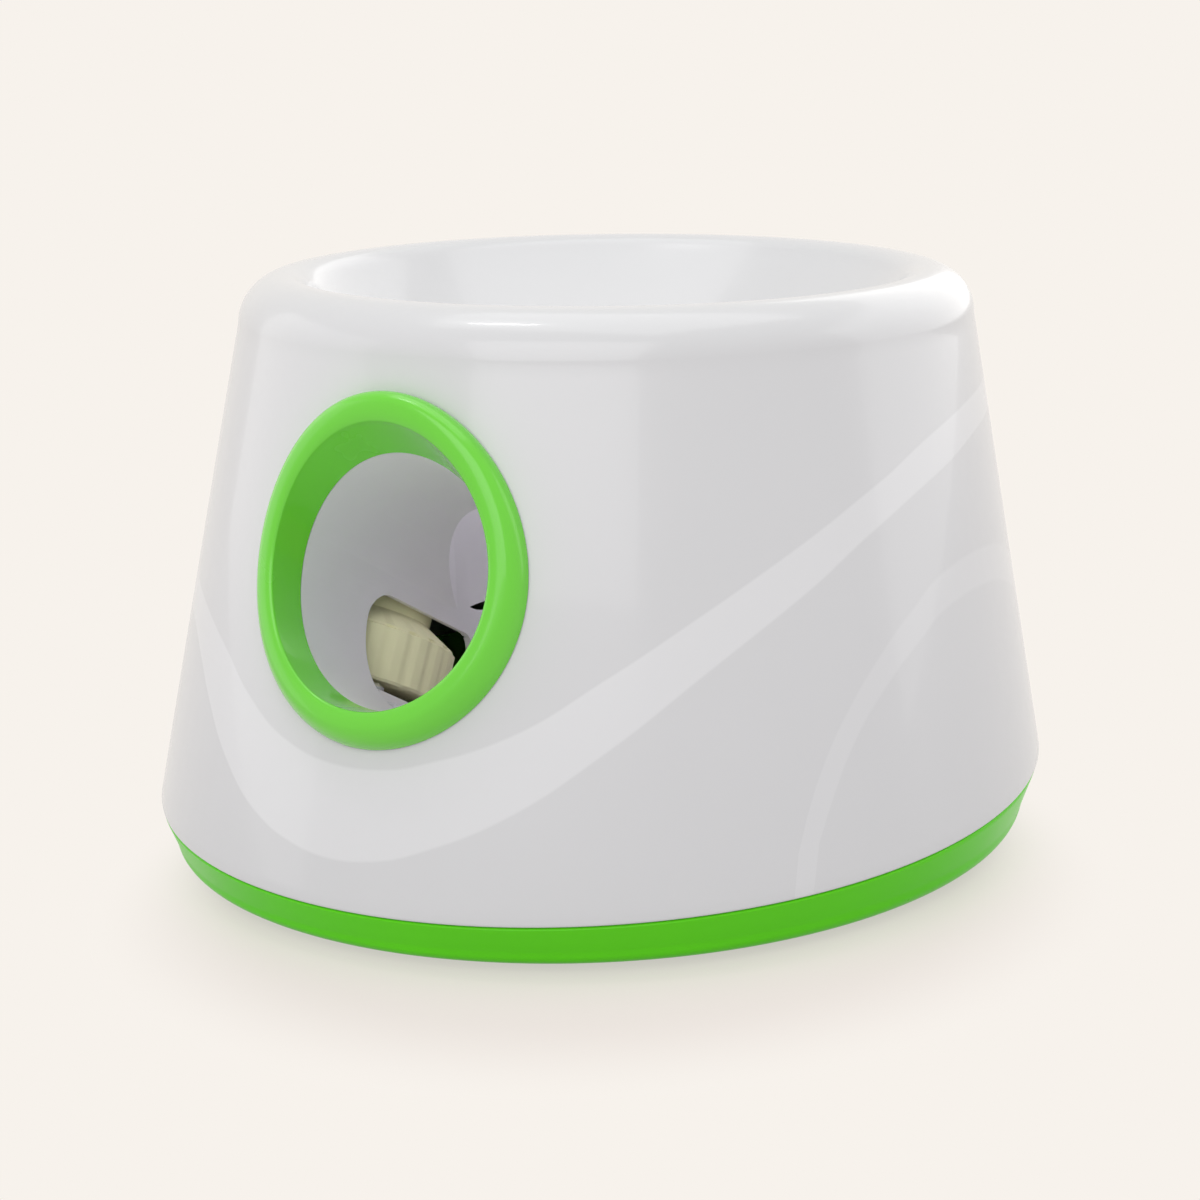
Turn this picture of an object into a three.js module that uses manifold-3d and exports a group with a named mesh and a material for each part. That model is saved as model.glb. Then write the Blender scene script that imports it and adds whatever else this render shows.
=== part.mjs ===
// Automatic dog ball launcher: a leaning round housing with a ball dish on top and a slanted launch barrel.
// Two ribbed wheels throw the ball out through the front port, and a geared pusher feeds it to them.
// Millimetres, +Z up, origin on the floor under the middle, the port faces -Y.
import * as THREE from "three";
import { mergeVertices } from "three/addons/utils/BufferGeometryUtils.js";
import Module from "manifold-3d";

const wasm = await Module();
wasm.setup();

// Clearances and overrun
const GAP = 0.3; // between pieces that touch or turn
const OVERRUN = 2; // how far a cutter runs past the face it opens
const SHAFT_GAP = 0.1; // round a shaft in its bearing
const MERGE_DISTANCE = 0.0001;

// Body: a cone that leans back from the port
const BODY_RADIUS = 140;
const WIDEST_LEVEL = 24.8;
const WALL_TAPER = THREE.MathUtils.degToRad(10.3);
const BODY_LEAN = THREE.MathUtils.degToRad(6.4);
const HOUSING_WALL = 3;
const FLOOR_LEVEL = 2.5;
const SEAM_LEVEL = 19.8;
const SEAM_SLOPE = 0.0317; // rise of the seam towards the rear
const CREST_SLOPE = -0.0591; // fall of the lip towards the rear
const SEAM_EDGE = 0.8;

// Lip and dish
const BROW_HEIGHT = 9.265; // plain wall between the port ring and the lip
const LIP_WIDTH = 14.485;
const LIP_HEIGHT = 14;
const INNER_LIP_RADIUS = 9;
const INNER_LIP_TURN = THREE.MathUtils.degToRad(55);
const BOWL_KNEE_INSET = 28.6; // of the dish's curve from the crest
const BOWL_KNEE_RISE = 12; // of the dish's curve above the throat
const THROAT_LEAD = 0.337; // how far the throat's middle lies ahead of the resting ball
const THROAT_ROUND = 1.5;
const SPIGOT_WALL = 2.5;
const SPIGOT_HEIGHT = 4.5;
const SPIGOT_CLEARANCE = 1.267; // over the barrel, at the spigot's front
const DISH_FLANGE = 2; // thickness of the flange that is welded under the lip
const LIP_TURN_SHARES = [0.4, 0.8];

// Base pan
const PAN_WALL = 3;
const PAN_FLAT_INSET = 9.5; // of the flat underside from the widest wall
const PAN_CORNER = 5.5;
const PAN_INSET = 0.7; // how far the green rim stands in from the white wall
const TONGUE_WALL = 2.2;
const TONGUE_HEIGHT = 4;

// Launch axis, bore and port
const BARREL_LIFT = 0.315; // of the barrel's tail off the pan's floor
const LAUNCH_PITCH = THREE.MathUtils.degToRad(30);
const BORE_RADIUS = 36;
const BARREL_WALL = 2.5;
const BALL_RADIUS = 31.75;
const RING_WIDTH = 9.8; // of the port ring, from the bore to its outer edge
const RING_TALL = 1.075; // height over width of the port ring
const RING_RISE = 0.8; // of the ring's middle above the bore's
const RING_STAND = 6.8;
const RING_CREST_AT = 5.4; // from the bore
const CREASE_AT = 1; // from the bore
const CREASE_STAND = 5;
const RING_LIFT = 0.5; // seat of the ring off the curved wall
const SLEEVE_WALL = 2.2;
const SLEEVE_DEPTH = 8.5; // how far behind the wall the sleeve ends

// Barrel: intake, stop and windows
const BALL_REST = 117; // ball centre behind the port, along the axis
const STOP_OPENING_RADIUS = 24;
const STOP_WALL = 2.5;
const INTAKE_RADIUS = 35.5;
const INTAKE_WALL = 2.5;
const INTAKE_LOW_LEVEL = 70;
const WINDOW_AHEAD = 30.5; // from the wheel's axis to the window's front end
const WINDOW_BEHIND = 32; // from the wheel's axis to the window's rear end
const WINDOW_TOP = 6.5;
const WINDOW_BOTTOM = -30;
const WINDOW_ROUND = 9;
const WINDOW_INNER = 12; // where the window's cutter starts, from the bore's middle
const SENSOR_BEHIND = 7; // the resting ball's middle
const SENSOR_RADIUS = 2.5;
const SENSOR_LENGTH = 8;

// Launch wheels and their motors
const WHEEL_LEAD = 35; // how far the wheels' axes lie ahead of the resting ball
const WHEEL_SQUEEZE = 2.75; // how deep each tyre reaches into the ball's way
const WHEEL_RADIUS = 37;
const WHEEL_BOTTOM = -19.5;
const WHEEL_TOP = 14;
const RIB_TOP = -2.5;
const SHOULDER_TOP = 4; // of the slope from the ribs to the wheel's cap
const CAP_RADIUS = 27;
const RIB_COUNT = 26;
const RIB_DEPTH = 1.2;
const RIB_EDGE_SHARES = [-0.35, 0.35]; // edges of a rib or a groove, as shares of its step
const TYRE_BORE = 20;
const HUB_RIM = 2.5;
const HUB_WEB = 4;
const HUB_BOSS_RADIUS = 6;
const MOTOR_SHAFT_RADIUS = 1.6;
const MOUNT_PLATE = 3;
const MOUNT_LENGTH = 46;
const MOUNT_REACH = 21; // of the mount beyond the wheel's axis
const WHEEL_TO_MOUNT = 3.5;
const MOTOR_RADIUS = 13.8;
const MOTOR_LENGTH = 32;
const MOTOR_NOSE_RADIUS = 5;
const MOTOR_NOSE = 2;
const MOTOR_CHAMFER = 1.5;
const MOTOR_SHAFT_DEPTH = 8;
const LUG_SPREAD = 18;
const LUG_WIDTH = 9;
const LUG_HEIGHT = 6;
const LUG_INNER = 18;
const LUG_OUTER = 43;
const LUG_SCREW_AT = 36;

// Screws
const SCREW_RADIUS = 1.5;
const SCREW_HEAD_RADIUS = 3;
const SCREW_HEAD = 2.2;
const MOUNT_SCREW_LENGTH = 7;
const HOUSING_SCREW_LENGTH = 30;

// Ball feeder
const PUSHER_RADIUS = 19;
const PUSHER_FACE = 3.5;
const PUSHER_DISH = 1.2;
const ROD_HALF_WIDTH = 3.5;
const ROD_BOTTOM = -3.5;
const RACK_PITCH_LINE = 3.2;
const RACK_AHEAD = 10; // of the feed gear's axis
const ROD_BEHIND = 25; // the feed gear's axis
const GUIDE_AHEAD = 16; // of the feed gear's axis
const GUIDE_LENGTH = 2.4;
const GUIDE_BOTTOM = -12;
const GUIDE_TOP = 9;
const PLATE_INNER = 14;
const PLATE_WALL = 2.5;
const PLATE_BEHIND = 31; // the feed gear's axis
const PLATE_NECK_TOP = 18;
const PLATE_SHOULDER_AHEAD = 6; // of the feed gear's axis
const PLATE_TOP = 42;
const PLATE_TOP_BEHIND = 17; // the feed gear's axis
const PLATE_REAR_TOP = 20;
const FLANGE_WIDTH = 9;
const FLANGE_LENGTH = 44;
const FLANGE_OVERHANG = 10.66; // behind the side plate
const FEED_GEAR_BEHIND = 19.95; // the pusher's front
const RACK_MODULE = 1.5;
const RACK_PINION_TEETH = 12;
const RACK_PINION_HALF_WIDTH = 3.2;
const WHEEL_MODULE = 1;
const FEED_WHEEL_TEETH = 24;
const FEED_WHEEL_INNER = 5;
const FEED_WHEEL_WIDTH = 4;
const MOTOR_PINION_TEETH = 12;
const MOTOR_PINION_WIDTH = 5;
const MOTOR_PINION_ANGLE = THREE.MathUtils.degToRad(72);
const FEED_SHAFT_RADIUS = 2;
const FEEDER_MOTOR_RADIUS = 12;
const FEEDER_MOTOR_LENGTH = 36;
const FEEDER_NECK_RADIUS = 3.5;

// Gear tooth form
const PRESSURE_ANGLE = THREE.MathUtils.degToRad(25);
const ADDENDUM_SHARE = 0.8;
const DEDENDUM_SHARE = 1.05;
const BACKLASH = 0.36;

// Rear control panel
const PANEL_LEVEL = 88;
const BUTTON_RADIUS = 9;
const BUTTON_STAND = 1.2;
const BUTTON_CAP = 3.6;
const BUTTON_STEM_RADIUS = 2;
const BUTTON_CLEARANCE = 0.4;
const BUTTON_DOME = 0.5;
const LIGHT_RADIUS = 2;
const LIGHT_SPACING = 12;
const LIGHT_RISE = 18;
const LIGHT_STAND = 0.4;
const LIGHT_COUNT = 3;
const BOARD_DEPTH = 13;
const BOARD_THICK = 1.6;
const BOARD_HALF_WIDTH = 30;
const BOARD_BOTTOM = -14;
const BOARD_TOP = 26;
const POST_SPREAD = 24;
const POST_RISE = 6;
const POST_RADIUS = 3;
const PIN_RADIUS = 1.2;
const PIN_LENGTH = 3;
const SWITCH_HALF = 3.4;
const SWITCH_HEIGHT = 4;
const SWITCH_HOLE_DEPTH = 2.4;
const BUZZER_RADIUS = 7;
const BUZZER_HEIGHT = 6;
const BUZZER_X = 16;
const BUZZER_Y = 12;
const BUZZER_HOLE_RADIUS = 1.5;
const JACK_DROP = 46;
const JACK_RADIUS = 5.4;
const JACK_FLANGE_RADIUS = 7;
const JACK_FLANGE = 1.2;
const JACK_LIFT = 0.6;
const JACK_LENGTH = 15;
const JACK_BORE_RADIUS = 2.9;
const JACK_BORE_DEPTH = 10;
const JACK_PIN_RADIUS = 1.05;

// Battery bay
const CELL_RADIUS = 13.1;
const CELL_LENGTH = 49.4;
const CELL_NUB_RADIUS = 3.2;
const CELL_NUB = 1.5;
const CELL_CORNER = 0.8;
const CELL_ROW_SHARES = [0.5, 1.5]; // middles of the two rows, in cell pitches
const CELL_GAP = 0.6;
const BAY_WALL = 2;
const BAY_ROOF_WALL = 1.5;
const BAY_TO_BARREL = 0.5;
const BAY_TO_MOUNT = 1.93;
const CONTACT_PLATE = 0.8;
const CONTACT_SPRING = 2.6;
const CONTACT_SPRING_RADIUS = 4.5;
const CONTACT_TIP_RADIUS = 2.5;
const DOOR_LEDGE = 4;
const DOOR_THICK = 1.8;
const DOOR_SCREW_MARGIN = 3;
const DOOR_TAB_HALF_WIDTH = 8;

// Feet, bosses and cradles
const FOOT_RADIUS = 9;
const FOOT_RECESS = 1;
const FOOT_CORNER = 0.8;
const FOOT_INSET = 13.3; // from the edge of the flat underside
const FOOT_TURN = THREE.MathUtils.degToRad(64.747);
const BOSS_RADIUS = 5;
const BOSS_INSET = 17.934; // from the widest wall
const BOSS_TURN = THREE.MathUtils.degToRad(55.008);
const BOSS_HIGH_LEVEL = 74;
const BOSS_JOIN_LEVEL = 30;
const BOSS_RIB_WALL = 2.5;
const BOSS_RIB_REACH = 16;
const BOSS_RIB_LOW_LEVEL = 40;
const HEAD_SEAT_LEVEL = 8;
const CRADLE_HALF_WIDTH = 18;
const CRADLE_WALL = 3;
const CRADLE_TOP = 36;
const CRADLE_SPACING = 24;
const CRADLE_SETBACK = 8.38; // ahead of the barrel's tail

// Colours of the pieces
const WHITE = 0xe9e9ea;
const GREEN = 0x6fce45;
const BASE_GREEN = 0x57bd32;
const BARREL_GREY = 0xa3a3a6;
const WHEEL_GREY = 0xcfcdc4;
const DARK = 0x2f3032;
const STEEL = 0xb9bcc0;
const BRASS = 0xc9a452;
const BOARD_GREEN = 0x2f6b45;
const CELL_BLUE = 0x3f5f9c;

// Faces round each kind of round form
const BODY_SIDES = 48;
const BORE_SIDES = 36;
const PORT_SIDES = 48;
const ROUND_SIDES = 20;
const SMALL_SIDES = 10;
const ARC_SIDES = 6;

// Rings along each curved stretch of a section
const WALL_STEPS = 3;
const LIP_STEPS = 5;
const BOWL_STEPS = 5;
const UNDER_BOWL_STEPS = 4;
const UNDER_LIP_STEPS = 3;
const CORNER_STEPS = 3;
const BEAD_STEPS = 4;

// Rounds of the search for a place on the leaning wall
const LEVEL_ROUNDS = 4;
const PORT_ROUNDS = 8;
const DEPTH_ROUNDS = 12;

// Turns a geometry into one closed mesh of shared vertices with its faces pointing out
function closed(geometry) {
  const bare = new THREE.BufferGeometry();
  bare.setAttribute("position", geometry.getAttribute("position"));
  if (geometry.index) bare.setIndex(geometry.index);
  const merged = mergeVertices(bare, MERGE_DISTANCE);
  const position = merged.getAttribute("position");
  const kept = [];
  const a = new THREE.Vector3();
  const b = new THREE.Vector3();
  const c = new THREE.Vector3();
  let volume = 0;
  for (let i = 0; i < merged.index.count; i += 3) {
    const corner = [merged.index.getX(i), merged.index.getX(i + 1), merged.index.getX(i + 2)];
    if (new Set(corner).size < 3) continue;
    a.fromBufferAttribute(position, corner[0]);
    b.fromBufferAttribute(position, corner[1]);
    c.fromBufferAttribute(position, corner[2]);
    volume += a.dot(b.cross(c));
    kept.push(corner);
  }
  if (volume < 0) kept.forEach((corner) => corner.reverse());
  merged.setIndex(kept.flat());
  return merged;
}

function solidOf(geometry) {
  const whole = closed(geometry);
  return new wasm.Manifold(
    new wasm.Mesh({
      numProp: 3,
      vertProperties: new Float32Array(whole.getAttribute("position").array),
      triVerts: new Uint32Array(whole.index.array),
    }),
  );
}

function geometryOf(solid) {
  const mesh = solid.getMesh();
  const geometry = new THREE.BufferGeometry();
  geometry.setAttribute("position", new THREE.BufferAttribute(new Float32Array(mesh.vertProperties), 3));
  geometry.setIndex(new THREE.BufferAttribute(new Uint32Array(mesh.triVerts), 1));
  return geometry;
}

function join(first, ...others) {
  return geometryOf(others.reduce((whole, other) => whole.add(solidOf(other)), solidOf(first)));
}

function cut(first, ...cutters) {
  return geometryOf(cutters.reduce((whole, cutter) => whole.subtract(solidOf(cutter)), solidOf(first)));
}

// The largest body of a form, without slivers that crossing cuts leave
function largest(geometry) {
  const bodies = solidOf(geometry).decompose();
  return geometryOf(bodies.reduce((most, body) => (body.volume() > most.volume() ? body : most)));
}

function common(first, second) {
  return geometryOf(solidOf(first).intersect(solidOf(second)));
}

// A round bar between two points
function rod(radius, from, to, sides = ROUND_SIDES) {
  const along = new THREE.Vector3().subVectors(to, from);
  const bar = new THREE.CylinderGeometry(radius, radius, along.length(), sides);
  const turn = new THREE.Quaternion().setFromUnitVectors(new THREE.Vector3(0, 1, 0), along.normalize());
  bar.applyQuaternion(turn);
  const middle = new THREE.Vector3().addVectors(from, to).multiplyScalar(0.5);
  return bar.translate(middle.x, middle.y, middle.z);
}

function at(x, y, z) {
  return new THREE.Vector3(x, y, z);
}

// A box from its low corner to its high corner
function block(low, high) {
  const size = new THREE.Vector3().subVectors(high, low);
  const middle = new THREE.Vector3().addVectors(low, high).multiplyScalar(0.5);
  return new THREE.BoxGeometry(size.x, size.y, size.z).translate(middle.x, middle.y, middle.z);
}

// A profile of [radius, height] pairs turned about Z
function turned(profile, sides = ROUND_SIDES) {
  const points = profile.map(([radius, height]) => new THREE.Vector2(radius, height));
  return new THREE.LatheGeometry(points, sides).rotateX(Math.PI / 2);
}

// A flat outline in Y and Z made thick along X
function acrossX(outline, low, high) {
  const settings = { depth: high - low, bevelEnabled: false, curveSegments: ARC_SIDES };
  const plate = new THREE.ExtrudeGeometry(outline, settings);
  const turn = new THREE.Matrix4().makeBasis(at(0, 1, 0), at(0, 0, 1), at(1, 0, 0));
  return plate.applyMatrix4(turn).translate(low, 0, 0);
}

function outlineOf(points) {
  return new THREE.Shape(points.map(([a, b]) => new THREE.Vector2(a, b)));
}

function mesh(name, geometry, color, roughness = 0.5, metalness = 0) {
  const material = new THREE.MeshStandardMaterial({ color, roughness, metalness });
  const made = new THREE.Mesh(closed(geometry), material);
  made.name = name;
  return made;
}

// Sizes worked out from those above
const BARREL_RADIUS = BORE_RADIUS + BARREL_WALL;
const RING_OUTER_RADIUS = BORE_RADIUS + RING_WIDTH;
const RING_CREST_RADIUS = BORE_RADIUS + RING_CREST_AT;
const CREASE_RADIUS = BORE_RADIUS + CREASE_AT;
const SPIGOT_RADIUS = INTAKE_RADIUS + INTAKE_WALL + GAP;
const BALL_DROP = BORE_RADIUS - BALL_RADIUS; // how far the ball's centre lies below the axis
const STOP_AT = BALL_REST + Math.sqrt(BALL_RADIUS ** 2 - STOP_OPENING_RADIUS ** 2);
const BARREL_END = STOP_AT + STOP_WALL;
const PAN_FLOOR = FLOOR_LEVEL + PAN_WALL;
const PAN_FLAT_RADIUS = BODY_RADIUS - PAN_FLAT_INSET;
const BARREL_DROP = BARREL_END * Math.sin(LAUNCH_PITCH) + BARREL_RADIUS * Math.cos(LAUNCH_PITCH);
const PORT_HEIGHT = PAN_FLOOR + BARREL_LIFT + BARREL_DROP;
const RING_TOP = RING_OUTER_RADIUS * RING_TALL + RING_RISE;
const RING_TOP_LEVEL = PORT_HEIGHT + RING_TOP * Math.cos(LAUNCH_PITCH);
const CREST_LEVEL = RING_TOP_LEVEL + BROW_HEIGHT + LIP_HEIGHT;
const CREST_RADIUS = wallRadius(CREST_LEVEL - LIP_HEIGHT) - LIP_WIDTH;
const BOWL_KNEE_RADIUS = CREST_RADIUS - BOWL_KNEE_INSET;

// The body's axis, wall radius and level slope at a height
function axisY(level) {
  return Math.tan(BODY_LEAN) * (level - WIDEST_LEVEL);
}

function wallRadius(level) {
  return BODY_RADIUS - Math.tan(WALL_TAPER) * (level - WIDEST_LEVEL);
}

function levelSlope(level) {
  if (level < SEAM_LEVEL) return (SEAM_SLOPE * (level - FLOOR_LEVEL)) / (SEAM_LEVEL - FLOOR_LEVEL);
  return THREE.MathUtils.mapLinear(level, SEAM_LEVEL, CREST_LEVEL, SEAM_SLOPE, CREST_SLOPE);
}

function bodyRing(radius, level) {
  return { radius, level, middle: axisY(level), slope: levelSlope(level) };
}

// Rings of the body's round sections, each with its own middle and slope, skinned into one closed form
function leaningForm(rings) {
  const profile = rings.map((ring) => new THREE.Vector2(ring.radius, ring.level));
  const form = new THREE.LatheGeometry(profile, BODY_SIDES).rotateX(Math.PI / 2);
  const position = form.getAttribute("position");
  for (let i = 0; i < position.count; i++) {
    const ring = rings[i % rings.length];
    const y = position.getY(i);
    position.setXYZ(i, position.getX(i), ring.middle + y, ring.level + ring.slope * y);
  }
  return form;
}

// The port: where the launch axis meets the front wall
function portPoint() {
  let level = PORT_HEIGHT;
  for (let i = 0; i < PORT_ROUNDS; i++) {
    level = PORT_HEIGHT + levelSlope(level) * wallRadius(level);
  }
  return at(0, axisY(level) - wallRadius(level), PORT_HEIGHT);
}

const PORT = portPoint();
const INWARD = at(0, Math.cos(LAUNCH_PITCH), -Math.sin(LAUNCH_PITCH));
const UPWARD = at(0, Math.sin(LAUNCH_PITCH), Math.cos(LAUNCH_PITCH));

// Launch frame: X across, Y inward along the bore, Z square to it
const launchMatrix = new THREE.Matrix4().makeBasis(at(1, 0, 0), INWARD, UPWARD).setPosition(PORT);
const launchInverse = launchMatrix.clone().invert();

function launchPoint(along, above) {
  return at(0, along, above).applyMatrix4(launchMatrix);
}

// Level of the barrel's topmost line over a place along Y
function barrelTop(y) {
  return PORT.z - (y - PORT.y) * Math.tan(LAUNCH_PITCH) + BARREL_RADIUS / Math.cos(LAUNCH_PITCH);
}

// How far along the launch axis the outer wall lies at a place across the port
function wallDepth(x, above) {
  let depth = 0;
  for (let i = 0; i < DEPTH_ROUNDS; i++) {
    depth += outsideWall(x, depth, above) / Math.cos(LAUNCH_PITCH);
  }
  return depth;
}

function outsideWall(x, along, above) {
  const point = at(x, along, above).applyMatrix4(launchMatrix);
  let level = point.z;
  for (let i = 0; i < LEVEL_ROUNDS; i++) {
    level = point.z - levelSlope(level) * (point.y - axisY(level));
  }
  return Math.hypot(point.x, point.y - axisY(level)) - wallRadius(level);
}

// Rear panel frame: X to the left, Y up the wall, Z outward
const REAR_TILT = Math.atan(Math.tan(WALL_TAPER) - Math.tan(BODY_LEAN));
const PANEL_RADIUS = wallRadius(PANEL_LEVEL);
const PANEL = at(0, axisY(PANEL_LEVEL) + PANEL_RADIUS, PANEL_LEVEL + levelSlope(PANEL_LEVEL) * PANEL_RADIUS);
const OUTWARD = at(0, Math.cos(REAR_TILT), Math.sin(REAR_TILT));
const UP_THE_WALL = at(0, -Math.sin(REAR_TILT), Math.cos(REAR_TILT));
const panelMatrix = new THREE.Matrix4().makeBasis(at(-1, 0, 0), UP_THE_WALL, OUTWARD).setPosition(PANEL);

function onPanel(geometry) {
  return geometry.applyMatrix4(panelMatrix);
}

// Places along the launch axis
const WHEEL_AT = BALL_REST - WHEEL_LEAD;
const WHEEL_OFFSET = BALL_RADIUS + WHEEL_RADIUS - WHEEL_SQUEEZE;
const WINDOW_FRONT = WHEEL_AT - WINDOW_AHEAD;
const WINDOW_BACK = WHEEL_AT + WINDOW_BEHIND;
const SENSOR_AT = BALL_REST + SENSOR_BEHIND;
const PUSHER_AT = BALL_REST + BALL_RADIUS + GAP;
const FEED_GEAR_AT = PUSHER_AT + FEED_GEAR_BEHIND;
const RACK_START = FEED_GEAR_AT - RACK_AHEAD;
const ROD_END = FEED_GEAR_AT + ROD_BEHIND;
const GUIDE_FRONT = FEED_GEAR_AT - GUIDE_AHEAD;
const PLATE_SHOULDER = FEED_GEAR_AT - PLATE_SHOULDER_AHEAD;
const PLATE_TOP_REAR = FEED_GEAR_AT + PLATE_TOP_BEHIND;
const PLATE_REAR = FEED_GEAR_AT + PLATE_BEHIND;

// The throat stands over the resting ball, and the spigot over the barrel's front
const THROAT_Y = launchPoint(BALL_REST, -BALL_DROP).y - THROAT_LEAD;
const SPIGOT_FRONT_Y = THROAT_Y - SPIGOT_RADIUS - SPIGOT_WALL;
const BARREL_TOP_LEVEL = barrelTop(SPIGOT_FRONT_Y);
const SPIGOT_LOW_LEVEL = BARREL_TOP_LEVEL + SPIGOT_CLEARANCE;
const THROAT_LEVEL = SPIGOT_LOW_LEVEL + SPIGOT_HEIGHT;
const BOWL_KNEE_LEVEL = THROAT_LEVEL + BOWL_KNEE_RISE;

// Sizes that several pieces share
const MOUNT_TOP = WHEEL_BOTTOM - WHEEL_TO_MOUNT;
const MOUNT_BOTTOM = MOUNT_TOP - MOUNT_PLATE;
const LUG_TOP = MOUNT_BOTTOM - GAP;
const MOUNT_OUTER = WHEEL_OFFSET + MOUNT_REACH;
const BAY_INNER_X = -(BARREL_RADIUS + BAY_WALL + BAY_TO_BARREL);
const BAY_FRONT_Y = launchPoint(WHEEL_AT + MOUNT_LENGTH / 2, MOUNT_BOTTOM).y + BAY_WALL + BAY_TO_MOUNT;
const FLANGE_REAR_Y = launchPoint(PLATE_REAR, 0).y + FLANGE_OVERHANG;
const FLANGE_FRONT_Y = FLANGE_REAR_Y - FLANGE_LENGTH;
const CRADLE_REAR_Y = launchPoint(BARREL_END, -BARREL_RADIUS).y - CRADLE_SETBACK;
const CRADLE_FRONT_Y = CRADLE_REAR_Y - CRADLE_SPACING;
const PANEL_DEPTH = BOARD_DEPTH + BOARD_THICK;
const CORNERS = [[-1, -1], [1, -1], [-1, 1], [1, 1]];
const BOSSES = cornerPlaces(BODY_RADIUS - BOSS_INSET, BOSS_TURN);
const FEET = cornerPlaces(PAN_FLAT_RADIUS - FOOT_INSET, FOOT_TURN);

function cornerPlaces(radius, turn) {
  return CORNERS.map(([x, y]) => [x * radius * Math.cos(turn), y * radius * Math.sin(turn)]);
}

// Arc of an ellipse quarter as shares of its two half axes
function quarterArc(steps) {
  const turn = Math.PI / 2 / steps;
  return Array.from({ length: steps + 1 }, (_, i) => [Math.sin(i * turn), Math.cos(i * turn)]);
}

// White housing

// The edge where the lip ends and the dish begins
const EDGE_RADIUS = CREST_RADIUS - INNER_LIP_RADIUS * Math.sin(INNER_LIP_TURN);
const EDGE_LEVEL = CREST_LEVEL - INNER_LIP_RADIUS * (1 - Math.cos(INNER_LIP_TURN));
const UNDER_EDGE_RADIUS = EDGE_RADIUS + HOUSING_WALL * Math.sin(INNER_LIP_TURN);
const UNDER_EDGE_LEVEL = EDGE_LEVEL - HOUSING_WALL * Math.cos(INNER_LIP_TURN);

// Wall and lip
function housingShell() {
  const foot = SEAM_LEVEL + GAP;
  const lipFoot = CREST_LEVEL - LIP_HEIGHT;
  const lipWidth = wallRadius(lipFoot) - CREST_RADIUS;
  const rings = [bodyRing(wallRadius(foot) - SEAM_EDGE, foot)];
  for (let i = 0; i < WALL_STEPS; i++) {
    const level = THREE.MathUtils.lerp(foot + SEAM_EDGE, lipFoot, i / WALL_STEPS);
    rings.push(bodyRing(wallRadius(level), level));
  }
  for (const [up, across] of quarterArc(LIP_STEPS)) {
    rings.push(bodyRing(CREST_RADIUS + lipWidth * across, lipFoot + LIP_HEIGHT * up));
  }
  for (const share of LIP_TURN_SHARES) {
    const turn = share * INNER_LIP_TURN;
    const drop = INNER_LIP_RADIUS * (1 - Math.cos(turn));
    rings.push(bodyRing(CREST_RADIUS - INNER_LIP_RADIUS * Math.sin(turn), CREST_LEVEL - drop));
  }
  rings.push(bodyRing(EDGE_RADIUS, EDGE_LEVEL));
  rings.push(bodyRing(UNDER_EDGE_RADIUS, UNDER_EDGE_LEVEL));
  for (const [across, up] of quarterArc(UNDER_LIP_STEPS)) {
    const width = lipWidth - HOUSING_WALL;
    const height = LIP_HEIGHT - HOUSING_WALL;
    rings.push(bodyRing(CREST_RADIUS + width * across, lipFoot + height * up));
  }
  rings.push(bodyRing(wallRadius(foot) - HOUSING_WALL, foot));
  rings.push(rings[0]);
  return leaningForm(rings);
}

// Rings of the dish from its rim to its throat, whose middle moves forward on the way
function bowlRings(rimRadius, rimLevel, kneeRadius, kneeLevel, endRadius, endLevel, steps) {
  const rim = bodyRing(rimRadius, rimLevel);
  const curve = new THREE.QuadraticBezierCurve(
    new THREE.Vector2(rimRadius, rimLevel),
    new THREE.Vector2(kneeRadius, kneeLevel),
    new THREE.Vector2(endRadius, endLevel),
  );
  return curve.getPoints(steps).map((point, i) => ({
    radius: point.x,
    level: point.y,
    middle: THREE.MathUtils.lerp(rim.middle, THROAT_Y, i / steps),
    slope: THREE.MathUtils.lerp(rim.slope, 0, i / steps),
  }));
}

// The dish for the balls: its flange is welded under the lip, and its spigot leads into the barrel
function ballDish() {
  const inward = GAP * Math.cos(INNER_LIP_TURN);
  const down = GAP * Math.sin(INNER_LIP_TURN);
  const rings = bowlRings(
    EDGE_RADIUS - inward,
    EDGE_LEVEL - down,
    BOWL_KNEE_RADIUS,
    BOWL_KNEE_LEVEL,
    SPIGOT_RADIUS + THROAT_ROUND,
    THROAT_LEVEL,
    BOWL_STEPS,
  );
  const throat = { middle: THROAT_Y, slope: 0 };
  rings.push({ radius: SPIGOT_RADIUS, level: THROAT_LEVEL - THROAT_ROUND, ...throat });
  rings.push({ radius: SPIGOT_RADIUS, level: SPIGOT_LOW_LEVEL, ...throat });
  rings.push({ radius: SPIGOT_RADIUS + SPIGOT_WALL, level: SPIGOT_LOW_LEVEL, ...throat });
  const under = bowlRings(
    UNDER_EDGE_RADIUS - inward,
    UNDER_EDGE_LEVEL - down - DISH_FLANGE,
    BOWL_KNEE_RADIUS + HOUSING_WALL * Math.cos(INNER_LIP_TURN),
    BOWL_KNEE_LEVEL - HOUSING_WALL,
    SPIGOT_RADIUS + SPIGOT_WALL,
    THROAT_LEVEL - HOUSING_WALL,
    UNDER_BOWL_STEPS,
  );
  rings.push(...under.reverse());
  const flangeTop = CREST_LEVEL - HOUSING_WALL - GAP;
  rings.push(bodyRing(CREST_RADIUS, flangeTop - DISH_FLANGE));
  rings.push(bodyRing(CREST_RADIUS, flangeTop - down));
  rings.push(bodyRing(UNDER_EDGE_RADIUS - inward, UNDER_EDGE_LEVEL - down));
  rings.push(rings[0]);
  return leaningForm(rings);
}

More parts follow.
